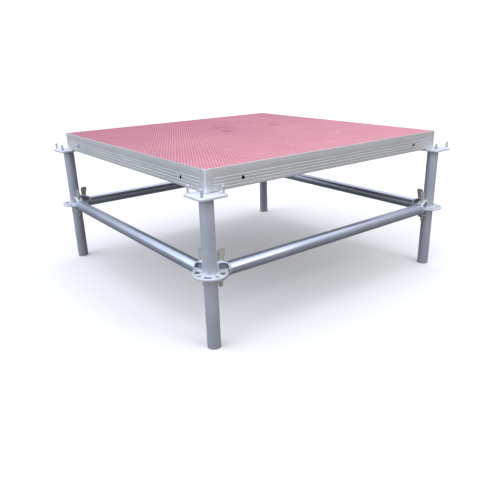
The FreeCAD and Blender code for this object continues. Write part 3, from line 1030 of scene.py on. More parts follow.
@dataclass(frozen=True)
class AntiSlipPanel(Finish):
    """Birch plywood under a pink film pressed into hexagons, with a dark film below.

    The hexagons' centres are two square-cornered lattices, one set in the
    middles of the other, so the distance to the nearer centre draws the cells.

    Attributes:
        low, high: heights of the panel's faces.
        pitch: distance between neighbouring hexagons.
        smudges: place by x, y and size of each stain on the film.
    """

    low: float
    high: float
    pitch: float = 12.0 * MM
    smudges: tuple = ((0.0, 0.21, 0.045), (0.28, 0.10, 0.04), (-0.035, 0.085, 0.03))

    def hexagons(self, graph: Graph) -> Value:
        """Height of the pressed pattern: one on a hexagon's top, zero between them.

        Args:
            graph: the material's shader.

        Returns:
            The height.
        """
        rows = self.pitch * math.sqrt(3)
        nearest = None
        for shift in (0.0, 0.5):
            across = abs((graph.x + shift * self.pitch).folded(self.pitch))
            along = abs((graph.y + shift * rows).folded(rows))
            reach = across.most(across * 0.5 + along * (math.sqrt(3) / 2))
            nearest = reach if nearest is None else nearest.least(reach)
        return nearest.ramp(self.pitch * 0.46, self.pitch * 0.30)

    def film(self, graph: Graph, boss: Value) -> bpy.types.NodeSocket:
        """Colour of the film: rose between the hexagons, paler on their worn tops, smudged, with
        painted shade darkening it towards the back and left.

        Args:
            graph: the material's shader.
            boss: height of the pressed pattern.

        Returns:
            The colour.
        """
        cloud = graph.noise(2.4, 5)
        worn = graph.noise(11, 4)
        streak = graph.noise(14, 5, (0.6, 1.6, 1))
        # Painted shade: the film darkens towards the back and left, with random tone from the
        # cloud noise.
        light_and_tone = (graph.x * 0.25 - graph.y * 0.6 + (cloud - 0.5) * 0.8).ramp(-0.6, 0.45)
        valley = graph.mix(light_and_tone, VALLEY_SHADED, VALLEY_LIT)
        top = graph.mix(light_and_tone, TOP_SHADED, TOP_LIT)
        colour = graph.mix(boss * (0.6 + worn * 0.4), valley, top)
        for x, y, size in self.smudges:
            away = ((graph.x - x) ** 2.0 + (graph.y - y) ** 2.0).root()
            stain = (away + (streak - 0.5) * 0.2).ramp(size, size * 0.2)
            colour = graph.mix(stain * 0.5, colour, SMUDGE)
        return colour

    def material(self) -> bpy.types.Material:
        """Build the material."""
        graph = self.graph()
        boss = self.hexagons(graph)
        on_top = graph.z.ramp(self.high - 0.6 * MM, self.high - 0.4 * MM)
        on_bottom = graph.z.ramp(self.low + 0.6 * MM, self.low + 0.4 * MM)
        plies = abs((graph.z - self.low).folded(2.8 * MM)).ramp(0.6 * MM, 0.8 * MM)
        grain = graph.noise(300, 3)
        wood = graph.mix(plies * 0.7 + grain * 0.3, PLY_PALE, PLY_DARK)
        mottle = graph.noise(8, 4)
        under = graph.mix(mottle, UNDER_DARK, UNDER_PALE)
        colour = graph.mix(on_bottom, wood, under)
        colour = graph.mix(on_top, colour, self.film(graph, boss))
        graph.bump(boss * on_top + grain * 0.08, 0.35 * MM, 0.8)
        rough = 0.62 - boss * 0.08 + mottle * 0.06
        return graph.dress(Base_Color=colour, Roughness=rough, Specular_IOR_Level=0.35)


@dataclass(frozen=True)
class StudioFloor(Finish):
    """Pale matt floor that throws little light back up."""

    name: str = "studio_floor"
    shown: Colour = srgb(248, 245, 241)
    thrown: Colour = srgb(104, 102, 98)

    def material(self) -> bpy.types.Material:
        """Build the material."""
        graph = self.graph()
        seen = graph.value("ShaderNodeLightPath", {}, {}, "Is Camera Ray")
        colour = graph.mix(seen, self.thrown, self.shown)
        return graph.dress(Base_Color=colour, Roughness=0.9, Specular_IOR_Level=0.1)


@dataclass(frozen=True)
class SoftSky:
    """Surroundings: dim at the horizon, bright overhead, with a wide soft glow on one side.
    """

    haze: Colour = (0.20, 0.20, 0.21, 1.0)
    horizon: Colour = (0.42, 0.42, 0.43, 1.0)
    overhead: Colour = (1.34, 1.42, 1.58, 1.0)
    glow: Colour = (2.9, 3.2, 3.8, 1.0)
    glow_at: tuple[float, float, float] = (-0.94, 0.22, 0.26)
    backdrop: Colour = (1.0, 1.0, 1.0, 1.0)

    def world(self) -> bpy.types.World:
        """Build the surroundings."""
        graph = Graph(bpy.data.worlds.new("surroundings"), "Background", "Generated")
        sky = graph.mix(graph.z.ramp(0.0, 0.22), self.haze, self.horizon)
        sky = graph.mix(graph.z.ramp(0.25, 0.88), sky, self.overhead)
        x, y, z = self.glow_at
        towards = graph.x * x + graph.y * y + graph.z * z
        share = towards.most(0) ** 5.0 * graph.z.ramp(0.12, 0.28)
        sky = graph.mix(share, sky, self.glow)
        seen = graph.value("ShaderNodeLightPath", {}, {}, "Is Camera Ray")
        return graph.dress(Color=graph.mix(seen, sky, self.backdrop), Strength=1.0)


class Workshop:
    """Makes each finish once, and settles finished pieces on their bodies."""

    def __init__(self) -> None:
        """Start with no material made."""
        self.made: dict[Finish, bpy.types.Material] = {}

    def paint(self, piece: bpy.types.Object, finish: Finish) -> None:
        """Give a piece its one material.

        Args:
            piece: the mesh object.
            finish: its finish.
        """
        if finish not in self.made:
            self.made[finish] = finish.material()
        piece.data.materials.clear()
        piece.data.materials.append(self.made[finish])

    def settle(
        self, piece: bpy.types.Object, finish: Finish, body: str, slot: str, *nodes: str
    ) -> None:
        """Paint a piece, let it ride on its body and stand for its nodes.

        Args:
            piece: the finished mesh object.
            finish: its finish.
            body: the body it moves with.
            slot: the record's material slot, not used.
            nodes: the nodes it stands for, none for a weld.
        """
        self.paint(piece, finish)
        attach(piece, body)
        if nodes:
            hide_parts(*nodes)
        log.info("%s: %d faces on %s", piece.name, len(piece.data.polygons), body)


WORKSHOP = Workshop()

FINE_GRAIN = 0.01 * MM
PLATE_ZINC = ZincCoat(
    "plate_zinc", srgb(242, 245, 250), srgb(222, 227, 236), 0.25, 0.36, 40, FINE_GRAIN
)
PIN_ZINC = ZincCoat(
    "pin_zinc", srgb(226, 230, 236), srgb(200, 204, 212), 0.4, 0.32, 60, FINE_GRAIN
)
WELD_ZINC = ZincCoat(
    "weld_zinc", srgb(212, 217, 226), srgb(176, 181, 191), 0.45, 0.45, 90, 0.2 * MM
)
RIVET_ZINC = ZincCoat("rivet_zinc", srgb(206, 198, 146), srgb(168, 158, 104), 0.6, 0.34, 120)
SCREW_ZINC = ZincCoat("screw_zinc", srgb(222, 222, 224), srgb(190, 190, 194), 0.7, 0.3, 120)
LEG_ZINC = ZincCoat(
    "leg_zinc", srgb(212, 217, 228), srgb(194, 199, 210), 0.4, 0.36, grain=0.015 * MM
)
LEDGER_ZINC = ZincCoat(
    "ledger_zinc", srgb(212, 219, 234), srgb(196, 203, 218), 0.75, 0.3, grain=0.002 * MM
)
WEDGE_GREYS = srgb(212, 212, 203), srgb(186, 187, 178)
RAIL_GREYS = srgb(232, 232, 231), srgb(208, 208, 208)
HEAD_CASTING = Casting(
    "head_casting", srgb(168, 170, 182), srgb(128, 130, 142), metallic=0.4,
    rim=srgb(226, 230, 238),
)
POST_CASTING = Casting(
    "post_casting", srgb(230, 231, 234), srgb(206, 208, 212), 0.42, 0.06 * MM, 0.45,
    edge_highlight_from=1215.5 * MM,
)
BEAM_METAL = Extrusion("beam_metal", srgb(178, 180, 183), srgb(150, 152, 156), Axis.X)


# ---------------------------------------------------------------- legs


@dataclass
class Rosette:
    """Disc with four small holes on the axes and four large ones between them.

    Attributes:
        outer: radius of the rim.
        inner: radius of the bore round the leg.
        half: half the thickness.
        edge: radius of every rounded edge.
        hole_near, hole_far: the holes' reach from the axis.
        small_half: half the width of a small hole.
        large_half: half the angle of a large hole, in radians.
        per_side: points on each side of a hole's outline.
    """

    outer: float = 62 * MM
    inner: float = 24.25 * MM
    half: float = 4 * MM
    edge: float = 1.2 * MM
    hole_near: float = 33 * MM
    hole_far: float = 53.2 * MM
    small_half: float = 8 * MM
    large_half: float = math.radians(18.5)
    per_side: int = 12

    @property
    def middle(self) -> float:
        """Reach of the holes' middles."""
        return (self.hole_far + self.hole_near) / 2

    def hole(self, half: float, rounding: float, grow: float) -> Points:
        """Rounded rectangle of a hole about the origin, moved out by a distance."""
        reach = (self.hole_far - self.hole_near) / 2 + grow
        return pulled_round(square_edge(self.per_side), reach, half + grow, rounding + grow)

    def small_hole(self, grow: float) -> Points:
        """Outline of the hole on +X: a rounded rectangle."""
        return self.hole(self.small_half, 4 * MM, grow) + (self.middle, 0)

    def large_hole(self, grow: float) -> Points:
        """Outline of a large hole about +X: a rounded rectangle bent into a ring's sector.

        Args:
            grow: how far the outline moves out.

        Returns:
            Points by x, y.
        """
        loop = self.hole(self.large_half * self.middle, 3 * MM, grow)
        radius, angle = self.middle + loop[:, 0], loop[:, 1] / self.middle
        return np.stack([radius * np.cos(angle), radius * np.sin(angle)], axis=1)

    def sector(self) -> Points:
        """Border of one eighth of the disc's flat ring.

        Returns:
            Points by x, y, as many as a hole has.
        """
        square = square_edge(self.per_side)
        rim = self.outer - self.edge
        radius = (rim + self.inner) / 2 + square[:, 0] * (rim - self.inner) / 2
        angle = square[:, 1] * np.pi / 8
        return np.stack([radius * np.cos(angle), radius * np.sin(angle)], axis=1)

    def shell(self) -> Shell:
        """The disc about the origin: eight holed sectors, a rounded rim and the bore."""
        shell = Shell()
        for eighth in range(8):
            hole = self.large_hole if eighth % 2 else self.small_hole
            cell = holed_cell(hole, self.sector(), self.half, self.edge)
            turn = np.array(Matrix.Rotation(eighth * math.pi / 4, 3, "Z"))
            shell.grid(cell @ turn.T)
        angle = np.linspace(np.pi / 2, -np.pi / 2, 9)
        straight = (self.half - self.edge) * np.sign(np.round(angle, 6))
        rim_radius = self.outer - self.edge + self.edge * np.cos(angle)
        rim = np.stack([rim_radius, straight + self.edge * np.sin(angle)], axis=1)
        shell.grid(lathe(rim, 8 * self.per_side))
        bore = [(self.inner, self.half), (self.inner, -self.half)]
        return shell.grid(lathe(bore, 8 * self.per_side))


@dataclass
class Leg:
    """One leg: tube, head plate, locating pins, rosette and the welds that join them."""

    corner: Corner
    radius: float = TUBE_RADIUS
    wall: float = TUBE_WALL
    plate_radius: float = 12 * MM
    pin_reach: float = 40 * MM
    pin_radius: float = 5 * MM
    collar: float = 8.2 * MM
    body: str = "understructure"
    rosette: Rosette = field(default_factory=Rosette)

    def __post_init__(self) -> None:
        """Read the leg's place and heights from the frame."""
        label = self.corner.label
        low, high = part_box(f"leg_tube_{label}")
        self.place = node_place(f"leg_tube_{label}")
        self.length = high.z - low.z
        self.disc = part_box(f"rosette_{label}")
        self.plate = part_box(f"head_plate_{label}")
        self.pin_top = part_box(f"locating_pins_{label}")[1].z

    def at(self, height: float) -> Place:
        """Place on the leg's axis at a height."""
        return Place(self.place.x, self.place.y, height)

    def build(self) -> None:
        """Make and settle every piece of the leg."""
        self.build_tube()
        self.build_plate()
        self.build_pins()
        self.build_rosette()
        self.build_welds()

    def build_tube(self) -> None:
        """Plain tube with lightly rounded lips."""
        label = self.corner.label
        profile = tube_profile(self.radius, self.wall, 0, self.length, 0.6 * MM)
        shell = Shell().grid(lathe(profile, 128), wrap_rows=True)
        tube = shell.stand(f"leg_{label}", self.at(0))
        finish = replace(LEG_ZINC, streak_top=self.disc[0].z)
        WORKSHOP.settle(tube, finish, self.body, "tube_steel", f"leg_tube_{label}")

    def build_plate(self) -> None:
        """Square plate with rounded corners and edges."""
        label = self.corner.label
        low, high = self.plate
        half = (high.x - low.x) / 2
        rows = slab(rectangle(half, half, self.plate_radius, 10), 0, high.z - low.z, 1.2 * MM)
        plate = Shell().grid(rows).stand(f"top_plate_{label}", self.at(low.z))
        WORKSHOP.settle(plate, PLATE_ZINC, self.body, "plate_steel", f"head_plate_{label}")

    def pin_profile(self) -> Points:
        """Radius and height of a pin: a hollow weld collar, a straight shank and a domed end.

        Returns:
            Points by radius, height.
        """
        height = self.pin_top - self.plate[1].z
        flare = np.linspace(0, np.pi / 2, 6)
        spread = self.collar - self.pin_radius
        radii, rises = self.collar - spread * np.sin(flare), 1.3 * spread * (1 - np.cos(flare))
        foot = np.stack([radii, rises], axis=1)
        dome = np.linspace(0, np.pi / 2, 8)
        heights = height - 3 * MM * (1 - np.sin(dome))
        tip = np.stack([self.pin_radius * np.cos(dome), heights], axis=1)
        return np.concatenate([[(0, -0.5 * MM), (self.collar, -0.5 * MM)], foot, tip])

    def build_pins(self) -> None:
        """Four pins in a square."""
        pin = Shell().grid(lathe(self.pin_profile(), 32))
        group, reach = Shell(), self.pin_reach
        for x in (self.place.x - reach, self.place.x + reach):
            for y in (self.place.y - reach, self.place.y + reach):
                group.join(pin, Place(x, y, self.plate[1].z))
        label = self.corner.label
        pins = group.build(f"pins_{label}")
        WORKSHOP.settle(pins, PIN_ZINC, self.body, "pin_steel", f"locating_pins_{label}")

    def build_rosette(self) -> None:
        """The disc at its middle height."""
        label, middle = self.corner.label, (self.disc[0].z + self.disc[1].z) / 2
        disc = self.rosette.shell().stand(f"disc_{label}", self.at(middle))
        WORKSHOP.settle(disc, PLATE_ZINC, self.body, "rosette_steel", f"rosette_{label}")

    def build_welds(self) -> None:
        """Beads above and below the rosette and under the head plate."""
        beads = Shell()
        for height in (self.disc[0].z, self.disc[1].z, self.plate[0].z):
            beads.grid(bead_ring(self.radius, height, 2.6 * MM), wrap_rows=True)
        welds = beads.stand(f"leg_welds_{self.corner.label}", self.at(0))
        WORKSHOP.settle(welds, WELD_ZINC, self.body, "rosette_steel")


# ---------------------------------------------------------------- ledgers


@dataclass(frozen=True)
class WedgeHead:
    """Cast head at a ledger's end: the leg is at the origin and the ledger runs along +X.

    Attributes:
        tube: radius of the ledger tube that the head grows into.
        leg: radius of the concave nose.
        nose: where the full height ends.
        reach: where the tube starts.
        nose_half, nose_height: half the width and half the height at the nose.
        slot: half the height of the rosette's slot.
        slot_back: where the rosette's slot ends.
        top_wall: thickness of the wall above the rivet's slot.
        start: where the metal starts, inside the leg's curve.
        pocket_near, pocket_end: where a pocket starts, and the wall left after it.
        pocket_wall, slot_wall: walls above a pocket and between it and the slot.
        floor: from the middle plane to the side pockets' floors.
        wedge_near, wedge_far: ends of the wedge's slot.
        narrow, wide: half the widths of the wedge's slot and of the rivet's.
        cell: size of the cells that the surface is found in.
    """

    tube: float = TUBE_RADIUS
    leg: float = 24.65 * MM
    nose: float = 34 * MM
    reach: float = 70 * MM
    nose_half: float = 14.5 * MM
    nose_height: float = 38 * MM
    slot: float = 5.5 * MM
    slot_back: float = 63.5 * MM
    top_wall: float = 8 * MM
    start: float = 19 * MM
    pocket_near: float = 27 * MM
    pocket_end: float = 7 * MM
    pocket_wall: float = 6.5 * MM
    slot_wall: float = 3.2 * MM
    floor: float = 10.5 * MM
    wedge_near: float = 33.6 * MM
    wedge_far: float = 58.5 * MM
    narrow: float = 3.6 * MM
    wide: float = 7.2 * MM
    cell: float = 1.0 * MM

    def share_at(self, x: Points) -> Points:
        """How far along the taper a point is: 0 at the nose, 1 at the tube."""
        return np.clip((x - self.nose) / (self.reach - self.nose), 0, 1)

    def height_at(self, x: Points) -> Points:
        """Half height: full at the nose, falling like a quarter cosine to the tube."""
        fall = np.cos(self.share_at(x) * np.pi / 2)
        return self.tube + (self.nose_height - self.tube) * fall

    def blank(self, at: Points) -> Points:
        """Field of the outer shape: a superellipse that turns from boxy to round along X.

        Args:
            at: points whose last axis is x, y, z.

        Returns:
            Distance at each point, negative inside.
        """
        x, y, z = np.moveaxis(at, -1, 0)
        share = self.share_at(x)
        ease = share**2 * (3 - 2 * share)
        width = self.nose_half + (self.tube - self.nose_half) * ease
        height = self.height_at(x)
        power = 7 - 5 * ease
        size = (np.abs(y / width) ** power + np.abs(z / height) ** power) ** (1 / power)
        around = (size - 1) * np.minimum(width, height)
        ends = np.maximum(self.start - x, x - self.reach)
        return soft_cut(around, -ends, 1.2 * MM)

    def pockets(self, at: Points) -> Points:
        """Field of the hollows in both flanks, above and below the rosette's slot.

        Args:
            at: points whose last axis is x, y, z.

        Returns:
            Distance at each point, negative inside.
        """
        x, y, z = np.moveaxis(at, -1, 0)
        rise = np.abs(z)
        upper = rise - (self.height_at(x) - self.pocket_wall)
        wall = np.maximum(self.slot + self.slot_wall - rise, upper)
        span = np.maximum(self.pocket_near - x, x - (self.reach - self.pocket_end))
        return np.maximum(np.maximum(wall, span), self.floor - np.abs(y))

    def field(self, at: Points) -> Points:
        """Field of the whole head, negative inside the metal.

        Args:
            at: points whose last axis is x, y, z.

        Returns:
            Distance at each point, negative inside.
        """
        shape = soft_cut(self.blank(at), self.pockets(at), 2.4 * MM)
        far = 2 * self.reach
        slot = box_field(at, (-far, -far, -self.slot), (self.slot_back, far, self.slot))
        shape = soft_cut(shape, slot, 1.0 * MM)
        ceiling = self.nose_height - self.top_wall
        for half, top in ((self.narrow, far), (self.wide, ceiling)):
            low, high = (self.wedge_near, -half, -far), (self.wedge_far, half, top)
            shape = soft_cut(shape, box_field(at, low, high), 0.8 * MM)
        leg = np.linalg.norm(at[..., :2], axis=-1) - self.leg
        return soft_cut(shape, leg, 1.0 * MM)

    def shell(self) -> Shell:
        """The casting as a closed surface."""
        low = np.array([self.start - 2 * MM, -self.tube, -self.nose_height])
        high = np.array([self.reach, self.tube, self.nose_height])
        return cast_shell(self.field, low, high, self.cell)


@dataclass(frozen=True)
class Wedge:
    """Tapered plate and its rivet, in the same local frame as the wedge head.

    Attributes:
        near: straight inner edge.
        tip, shoulder, head: widths at the tip, at the top of the head and at the struck end.
        drop, shoulder_height, rise: their heights from the rosette's middle plane.
        half: half the plate's thickness.
        rivet_reach, rivet_lift: the rivet's place from the inner edge and the tip.
        rivet_head, rivet_shank: radii of the rivet.
    """

    near: float = 34 * MM
    tip: float = 12.5 * MM
    shoulder: float = 22.2 * MM
    head: float = 31 * MM
    drop: float = 58 * MM
    shoulder_height: float = 37 * MM
    rise: float = 77 * MM
    half: float = 3 * MM
    rivet_reach: float = 7 * MM
    rivet_lift: float = 6 * MM
    rivet_head: float = 4.7 * MM
    rivet_shank: float = 2.9 * MM

    def plate(self) -> Shell:
        """The plate: its outline in X and Z, rounded over its thickness in Y."""
        corners = [
            (self.near, -self.drop, 2 * MM),
            (self.near + self.tip, -self.drop, 2.5 * MM),
            (self.near + self.shoulder, self.shoulder_height, 60 * MM),
            (self.near + self.head, self.rise, 7 * MM),
            (self.near, self.rise - 2 * MM, 6 * MM),
        ]
        rows = slab(rounded_outline(corners, 8), -self.half, self.half, 0.8 * MM)
        return Shell().grid(rows[..., [0, 2, 1]])

    def rivet(self) -> Shell:
        """The rivet about Y: a shank with a domed head each side."""
        angle, under = np.linspace(0, np.pi / 2, 7), self.half + 0.05 * MM
        heights = self.half + 3 * MM * np.cos(angle)
        dome = np.stack([self.rivet_head * np.sin(angle), heights], axis=1)
        half = np.concatenate([dome, [(self.rivet_head, under), (self.rivet_shank, under)]])
        profile = np.concatenate([half, half[::-1] * (1, -1)])
        points = laid(lathe(profile, 32), Axis.Y)
        middle = (self.near + self.rivet_reach, 0, self.rivet_lift - self.drop)
        return Shell().grid(points + middle)


@dataclass
class Ledger:
    """One ledger: tube, two cast heads, two wedges with rivets, and the welds."""

    side: Side
    casting: Shell
    head: WedgeHead
    wedge: Wedge = field(default_factory=Wedge)
    body: str = "understructure"

    def __post_init__(self) -> None:
        """Read the tube's place and length from the frame."""
        low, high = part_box(f"ledger_tube_{self.side.label}")
        self.middle = (low + high) / 2
        self.length = max(high.x - low.x, high.y - low.y)
        self.place = Place(*self.middle, self.side.quarters)

    def end_place(self, end: int) -> Place:
        """Place on the leg's axis, facing along the ledger from that end.

        Args:
            end: 0 for the first end, 1 for the other.

        Returns:
            The place.
        """
        reach = (self.length / 2 + self.head.reach) * (1 if end else -1)
        x, y, z = self.side.put(reach, 0)
        at = (self.middle.x + x, self.middle.y + y, self.middle.z + z)
        return Place(*at, self.side.quarters + 2 * end)

    def build(self) -> None:
        """Make and settle every piece of the ledger."""
        self.build_tube()
        for end, label in enumerate(self.side.ends):
            name = f"{self.side.label}_ledger_{label}"
            self.build_head(end, name)
            self.build_wedge(end, name)
        self.build_welds()

    def build_tube(self) -> None:
        """Plain tube between the heads."""
        half = self.length / 2
        profile = tube_profile(self.head.tube, TUBE_WALL, -half, half, 0.4 * MM)
        shell = Shell().grid(laid(lathe(profile, 128), Axis.X), wrap_rows=True)
        label = self.side.label
        tube = shell.stand(f"ledger_{label}", self.place)
        WORKSHOP.settle(tube, LEDGER_ZINC, self.body, "tube_steel", f"ledger_tube_{label}")

    def build_head(self, end: int, name: str) -> None:
        """The cast head at one end, with how near each vertex is to its outer surface.

        Args:
            end: which end.
            name: what its nodes' names start with.
        """
        place = self.end_place(end)
        piece = self.casting.stand(f"cast_{name}", place)
        mesh = piece.data
        points = np.empty(3 * len(mesh.vertices), np.float32)
        mesh.vertices.foreach_get("co", points)
        depth = self.head.blank(place.take(points.reshape(-1, 3)))
        near = np.clip(1 + depth / (2.5 * MM), 0, 1)
        # This share lightens the rims and leaves painted shade in the pockets, part rubbed wear.
        rim = mesh.attributes.new("rim", "FLOAT", "POINT")
        rim.data.foreach_set("value", near.astype(np.float32))
        WORKSHOP.settle(piece, HEAD_CASTING, self.body, "cast_head", f"{name}_head")

    def build_wedge(self, end: int, name: str) -> None:
        """The wedge and the rivet in its tip, which lift together.

        Args:
            end: which end.
            name: what its nodes' names start with.
        """
        place = self.end_place(end)
        body = f"{name}_wedge_body"
        finish = HammeredPlate("wedge_plate", *WEDGE_GREYS, place.z + self.wedge.rise)
        plate = self.wedge.plate().stand(f"plate_{name}", place)
        WORKSHOP.settle(plate, finish, body, "wedge_steel", f"{name}_wedge")
        rivet = self.wedge.rivet().stand(f"pin_{name}", place)
        WORKSHOP.settle(rivet, RIVET_ZINC, body, "rivet_steel", f"{name}_rivet")

    def build_welds(self) -> None:
        """A bead round each joint of tube and head."""
        ring = bead_ring(self.head.tube - 0.4 * MM, 0, 2.2 * MM)
        beads = Shell()
        for x in (-self.length / 2, self.length / 2):
            beads.grid(laid(ring, Axis.X) + (x, 0, 0), wrap_rows=True)
        welds = beads.stand(f"ledger_welds_{self.side.label}", self.place)
        WORKSHOP.settle(welds, WELD_ZINC, self.body, "cast_head")


# ---------------------------------------------------------------- deck


@dataclass
class Rail:
    """Extruded edge rail: a hollow box, a ledge for the panel and a lip outside it.

    Attributes:
        side: which side of the deck it closes.
        width, wall: the box's width and its walls.
        ledge: height of the panel's seat.
        grooves: how many grooves the outside has, from first_groove down at that pitch.
        depth, upper, lower: a groove's depth, and its height above and below its middle.
        hole_inset, hole_drop: a side hole's place from the deck's corner and from its top.
        hole_radius: radius of a side hole.
        overrun: how far the drill runs past both faces.
    """

    side: Side
    width: float = FRAME_EDGE
    wall: float = 3 * MM
    ledge: float = 58 * MM
    grooves: int = 4
    first_groove: float = 31 * MM
    pitch: float = 11 * MM
    depth: float = 1.1 * MM
    upper: float = 2.2 * MM
    lower: float = 1.2 * MM
    hole_inset: float = 150 * MM
    hole_drop: float = 47 * MM
    hole_radius: float = 6.5 * MM
    overrun: float = 5 * MM
    body: str = "deck"

    def __post_init__(self) -> None:
        """Read the rail's place, height and length from the frame."""
        low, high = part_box(f"edge_rail_{self.side.label}")
        self.height = high.z - low.z
        self.length = max(high.x - low.x, high.y - low.y)
        deck_low, deck_high = (
            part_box("corner_post_front_left")[0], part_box("corner_post_back_right")[1]
        )
        self.half_deck = (deck_high.x - deck_low.x) / 2
        self.place = Place(*self.side.put(0, -self.half_deck, low.z), self.side.quarters)

    def outside(self) -> Points:
        """Outline of the section, the outer face at zero, with a rounded V for each groove.

        Returns:
            Points by y, z.
        """
        corners = [
            (0, 0, 1.5 * MM), (self.width, 0, 1.5 * MM), (self.width, self.ledge, 0.8 * MM),
            (self.wall, self.ledge, 0.5 * MM), (self.wall, self.height, 1.2 * MM),
            (0, self.height, 1.2 * MM),
        ]
        for k in range(self.grooves):
            middle = self.height - self.first_groove - k * self.pitch
            corners += [
                (0, middle + self.upper, 0.6 * MM), (self.depth, middle, 0.4 * MM),
                (0, middle - self.lower, 0.5 * MM),
            ]
        return rounded_outline(corners, 5)

    def shell(self) -> Shell:
        """The extrusion along X, with its hollow and its two cut ends."""
        half_y, half_z = self.width / 2, self.ledge / 2
        hollow = rectangle(half_y - self.wall, half_z - self.wall, 1.5 * MM, 4) + (half_y, half_z)
        ends = (-self.length / 2, self.length / 2)
        shell = Shell()
        rows = [drawn_out(loop, ends) for loop in (self.outside(), hollow)]
        for row in rows:
            shell.grid(row)
        for end in (0, 1):
            shell.fill([row[end] for row in rows])
        return shell

    def build(self) -> None:
        """Make the rail, drill its side holes and settle it."""
        label, drill = self.side.label, Shell()
        rail = self.shell().stand(f"rail_{label}", self.place)
        radius, low, high = self.hole_radius, -self.overrun, self.width + self.overrun
        bit = laid(lathe([(0, low), (radius, low), (radius, high), (0, high)], 48), Axis.Y)
        for x in (self.hole_inset - self.half_deck, self.half_deck - self.hole_inset):
            drill.grid(bit + (x, 0, self.height - self.hole_drop))
        carve(rail, drill.stand("drill", self.place))
        WORKSHOP.settle(rail, self.finish(), self.body, "rail_aluminium", f"edge_rail_{label}")

    def finish(self) -> Extrusion:
        """Bare metal drawn along the rail, its hollow painted near black as shade."""
        axis, floor = self.side.axis, self.place.z
        near = self.half_deck - self.width + self.wall
        far = self.half_deck - self.depth - 0.2 * MM
        hollow = (near, far, floor + self.wall, floor + self.ledge - self.wall)
        return Extrusion(f"rail_metal_{axis.name.lower()}", *RAIL_GREYS, axis, hollow=hollow)


@dataclass
class CornerPost:
    """Corner casting with a rounded outer edge and a seat for the panel's corner."""

    corner: Corner
    width: float = FRAME_EDGE
    outer: float = 3.5 * MM
    lip: float = 3 * MM
    seat: float = 18 * MM
    edge: float = 0.8 * MM
    body: str = "deck"

    def build(self) -> None:
        """Make the casting, cut its seat and settle it."""
        name = f"corner_post_{self.corner.label}"
        low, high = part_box(name)
        height, edge = high.z - low.z, self.edge
        far = self.width - 0.15 * MM
        corners = [(0, 0, self.outer), (far, 0, edge), (far, far, edge), (0, far, edge)]
        block = Shell().grid(slab(rounded_outline(corners, 8), 0, height, edge))
        near, far = self.lip, 2 * self.width
        seat = [(near, near, self.outer - near), (far, near, MM), (far, far, MM), (near, far, MM)]
        rows = slab(rounded_outline(seat, 8), height - self.seat, 2 * height, 0.5 * MM)
        middle = node_place(name, self.corner.quarters)
        start = middle.put(np.array([-self.width / 2, -self.width / 2, 0.0]))
        place = Place(*start, self.corner.quarters)
        post = block.stand(f"post_{self.corner.label}", place)
        carve(post, Shell().grid(rows).stand("seat_tool", place))
        WORKSHOP.settle(post, POST_CASTING, self.body, "post_aluminium", name)


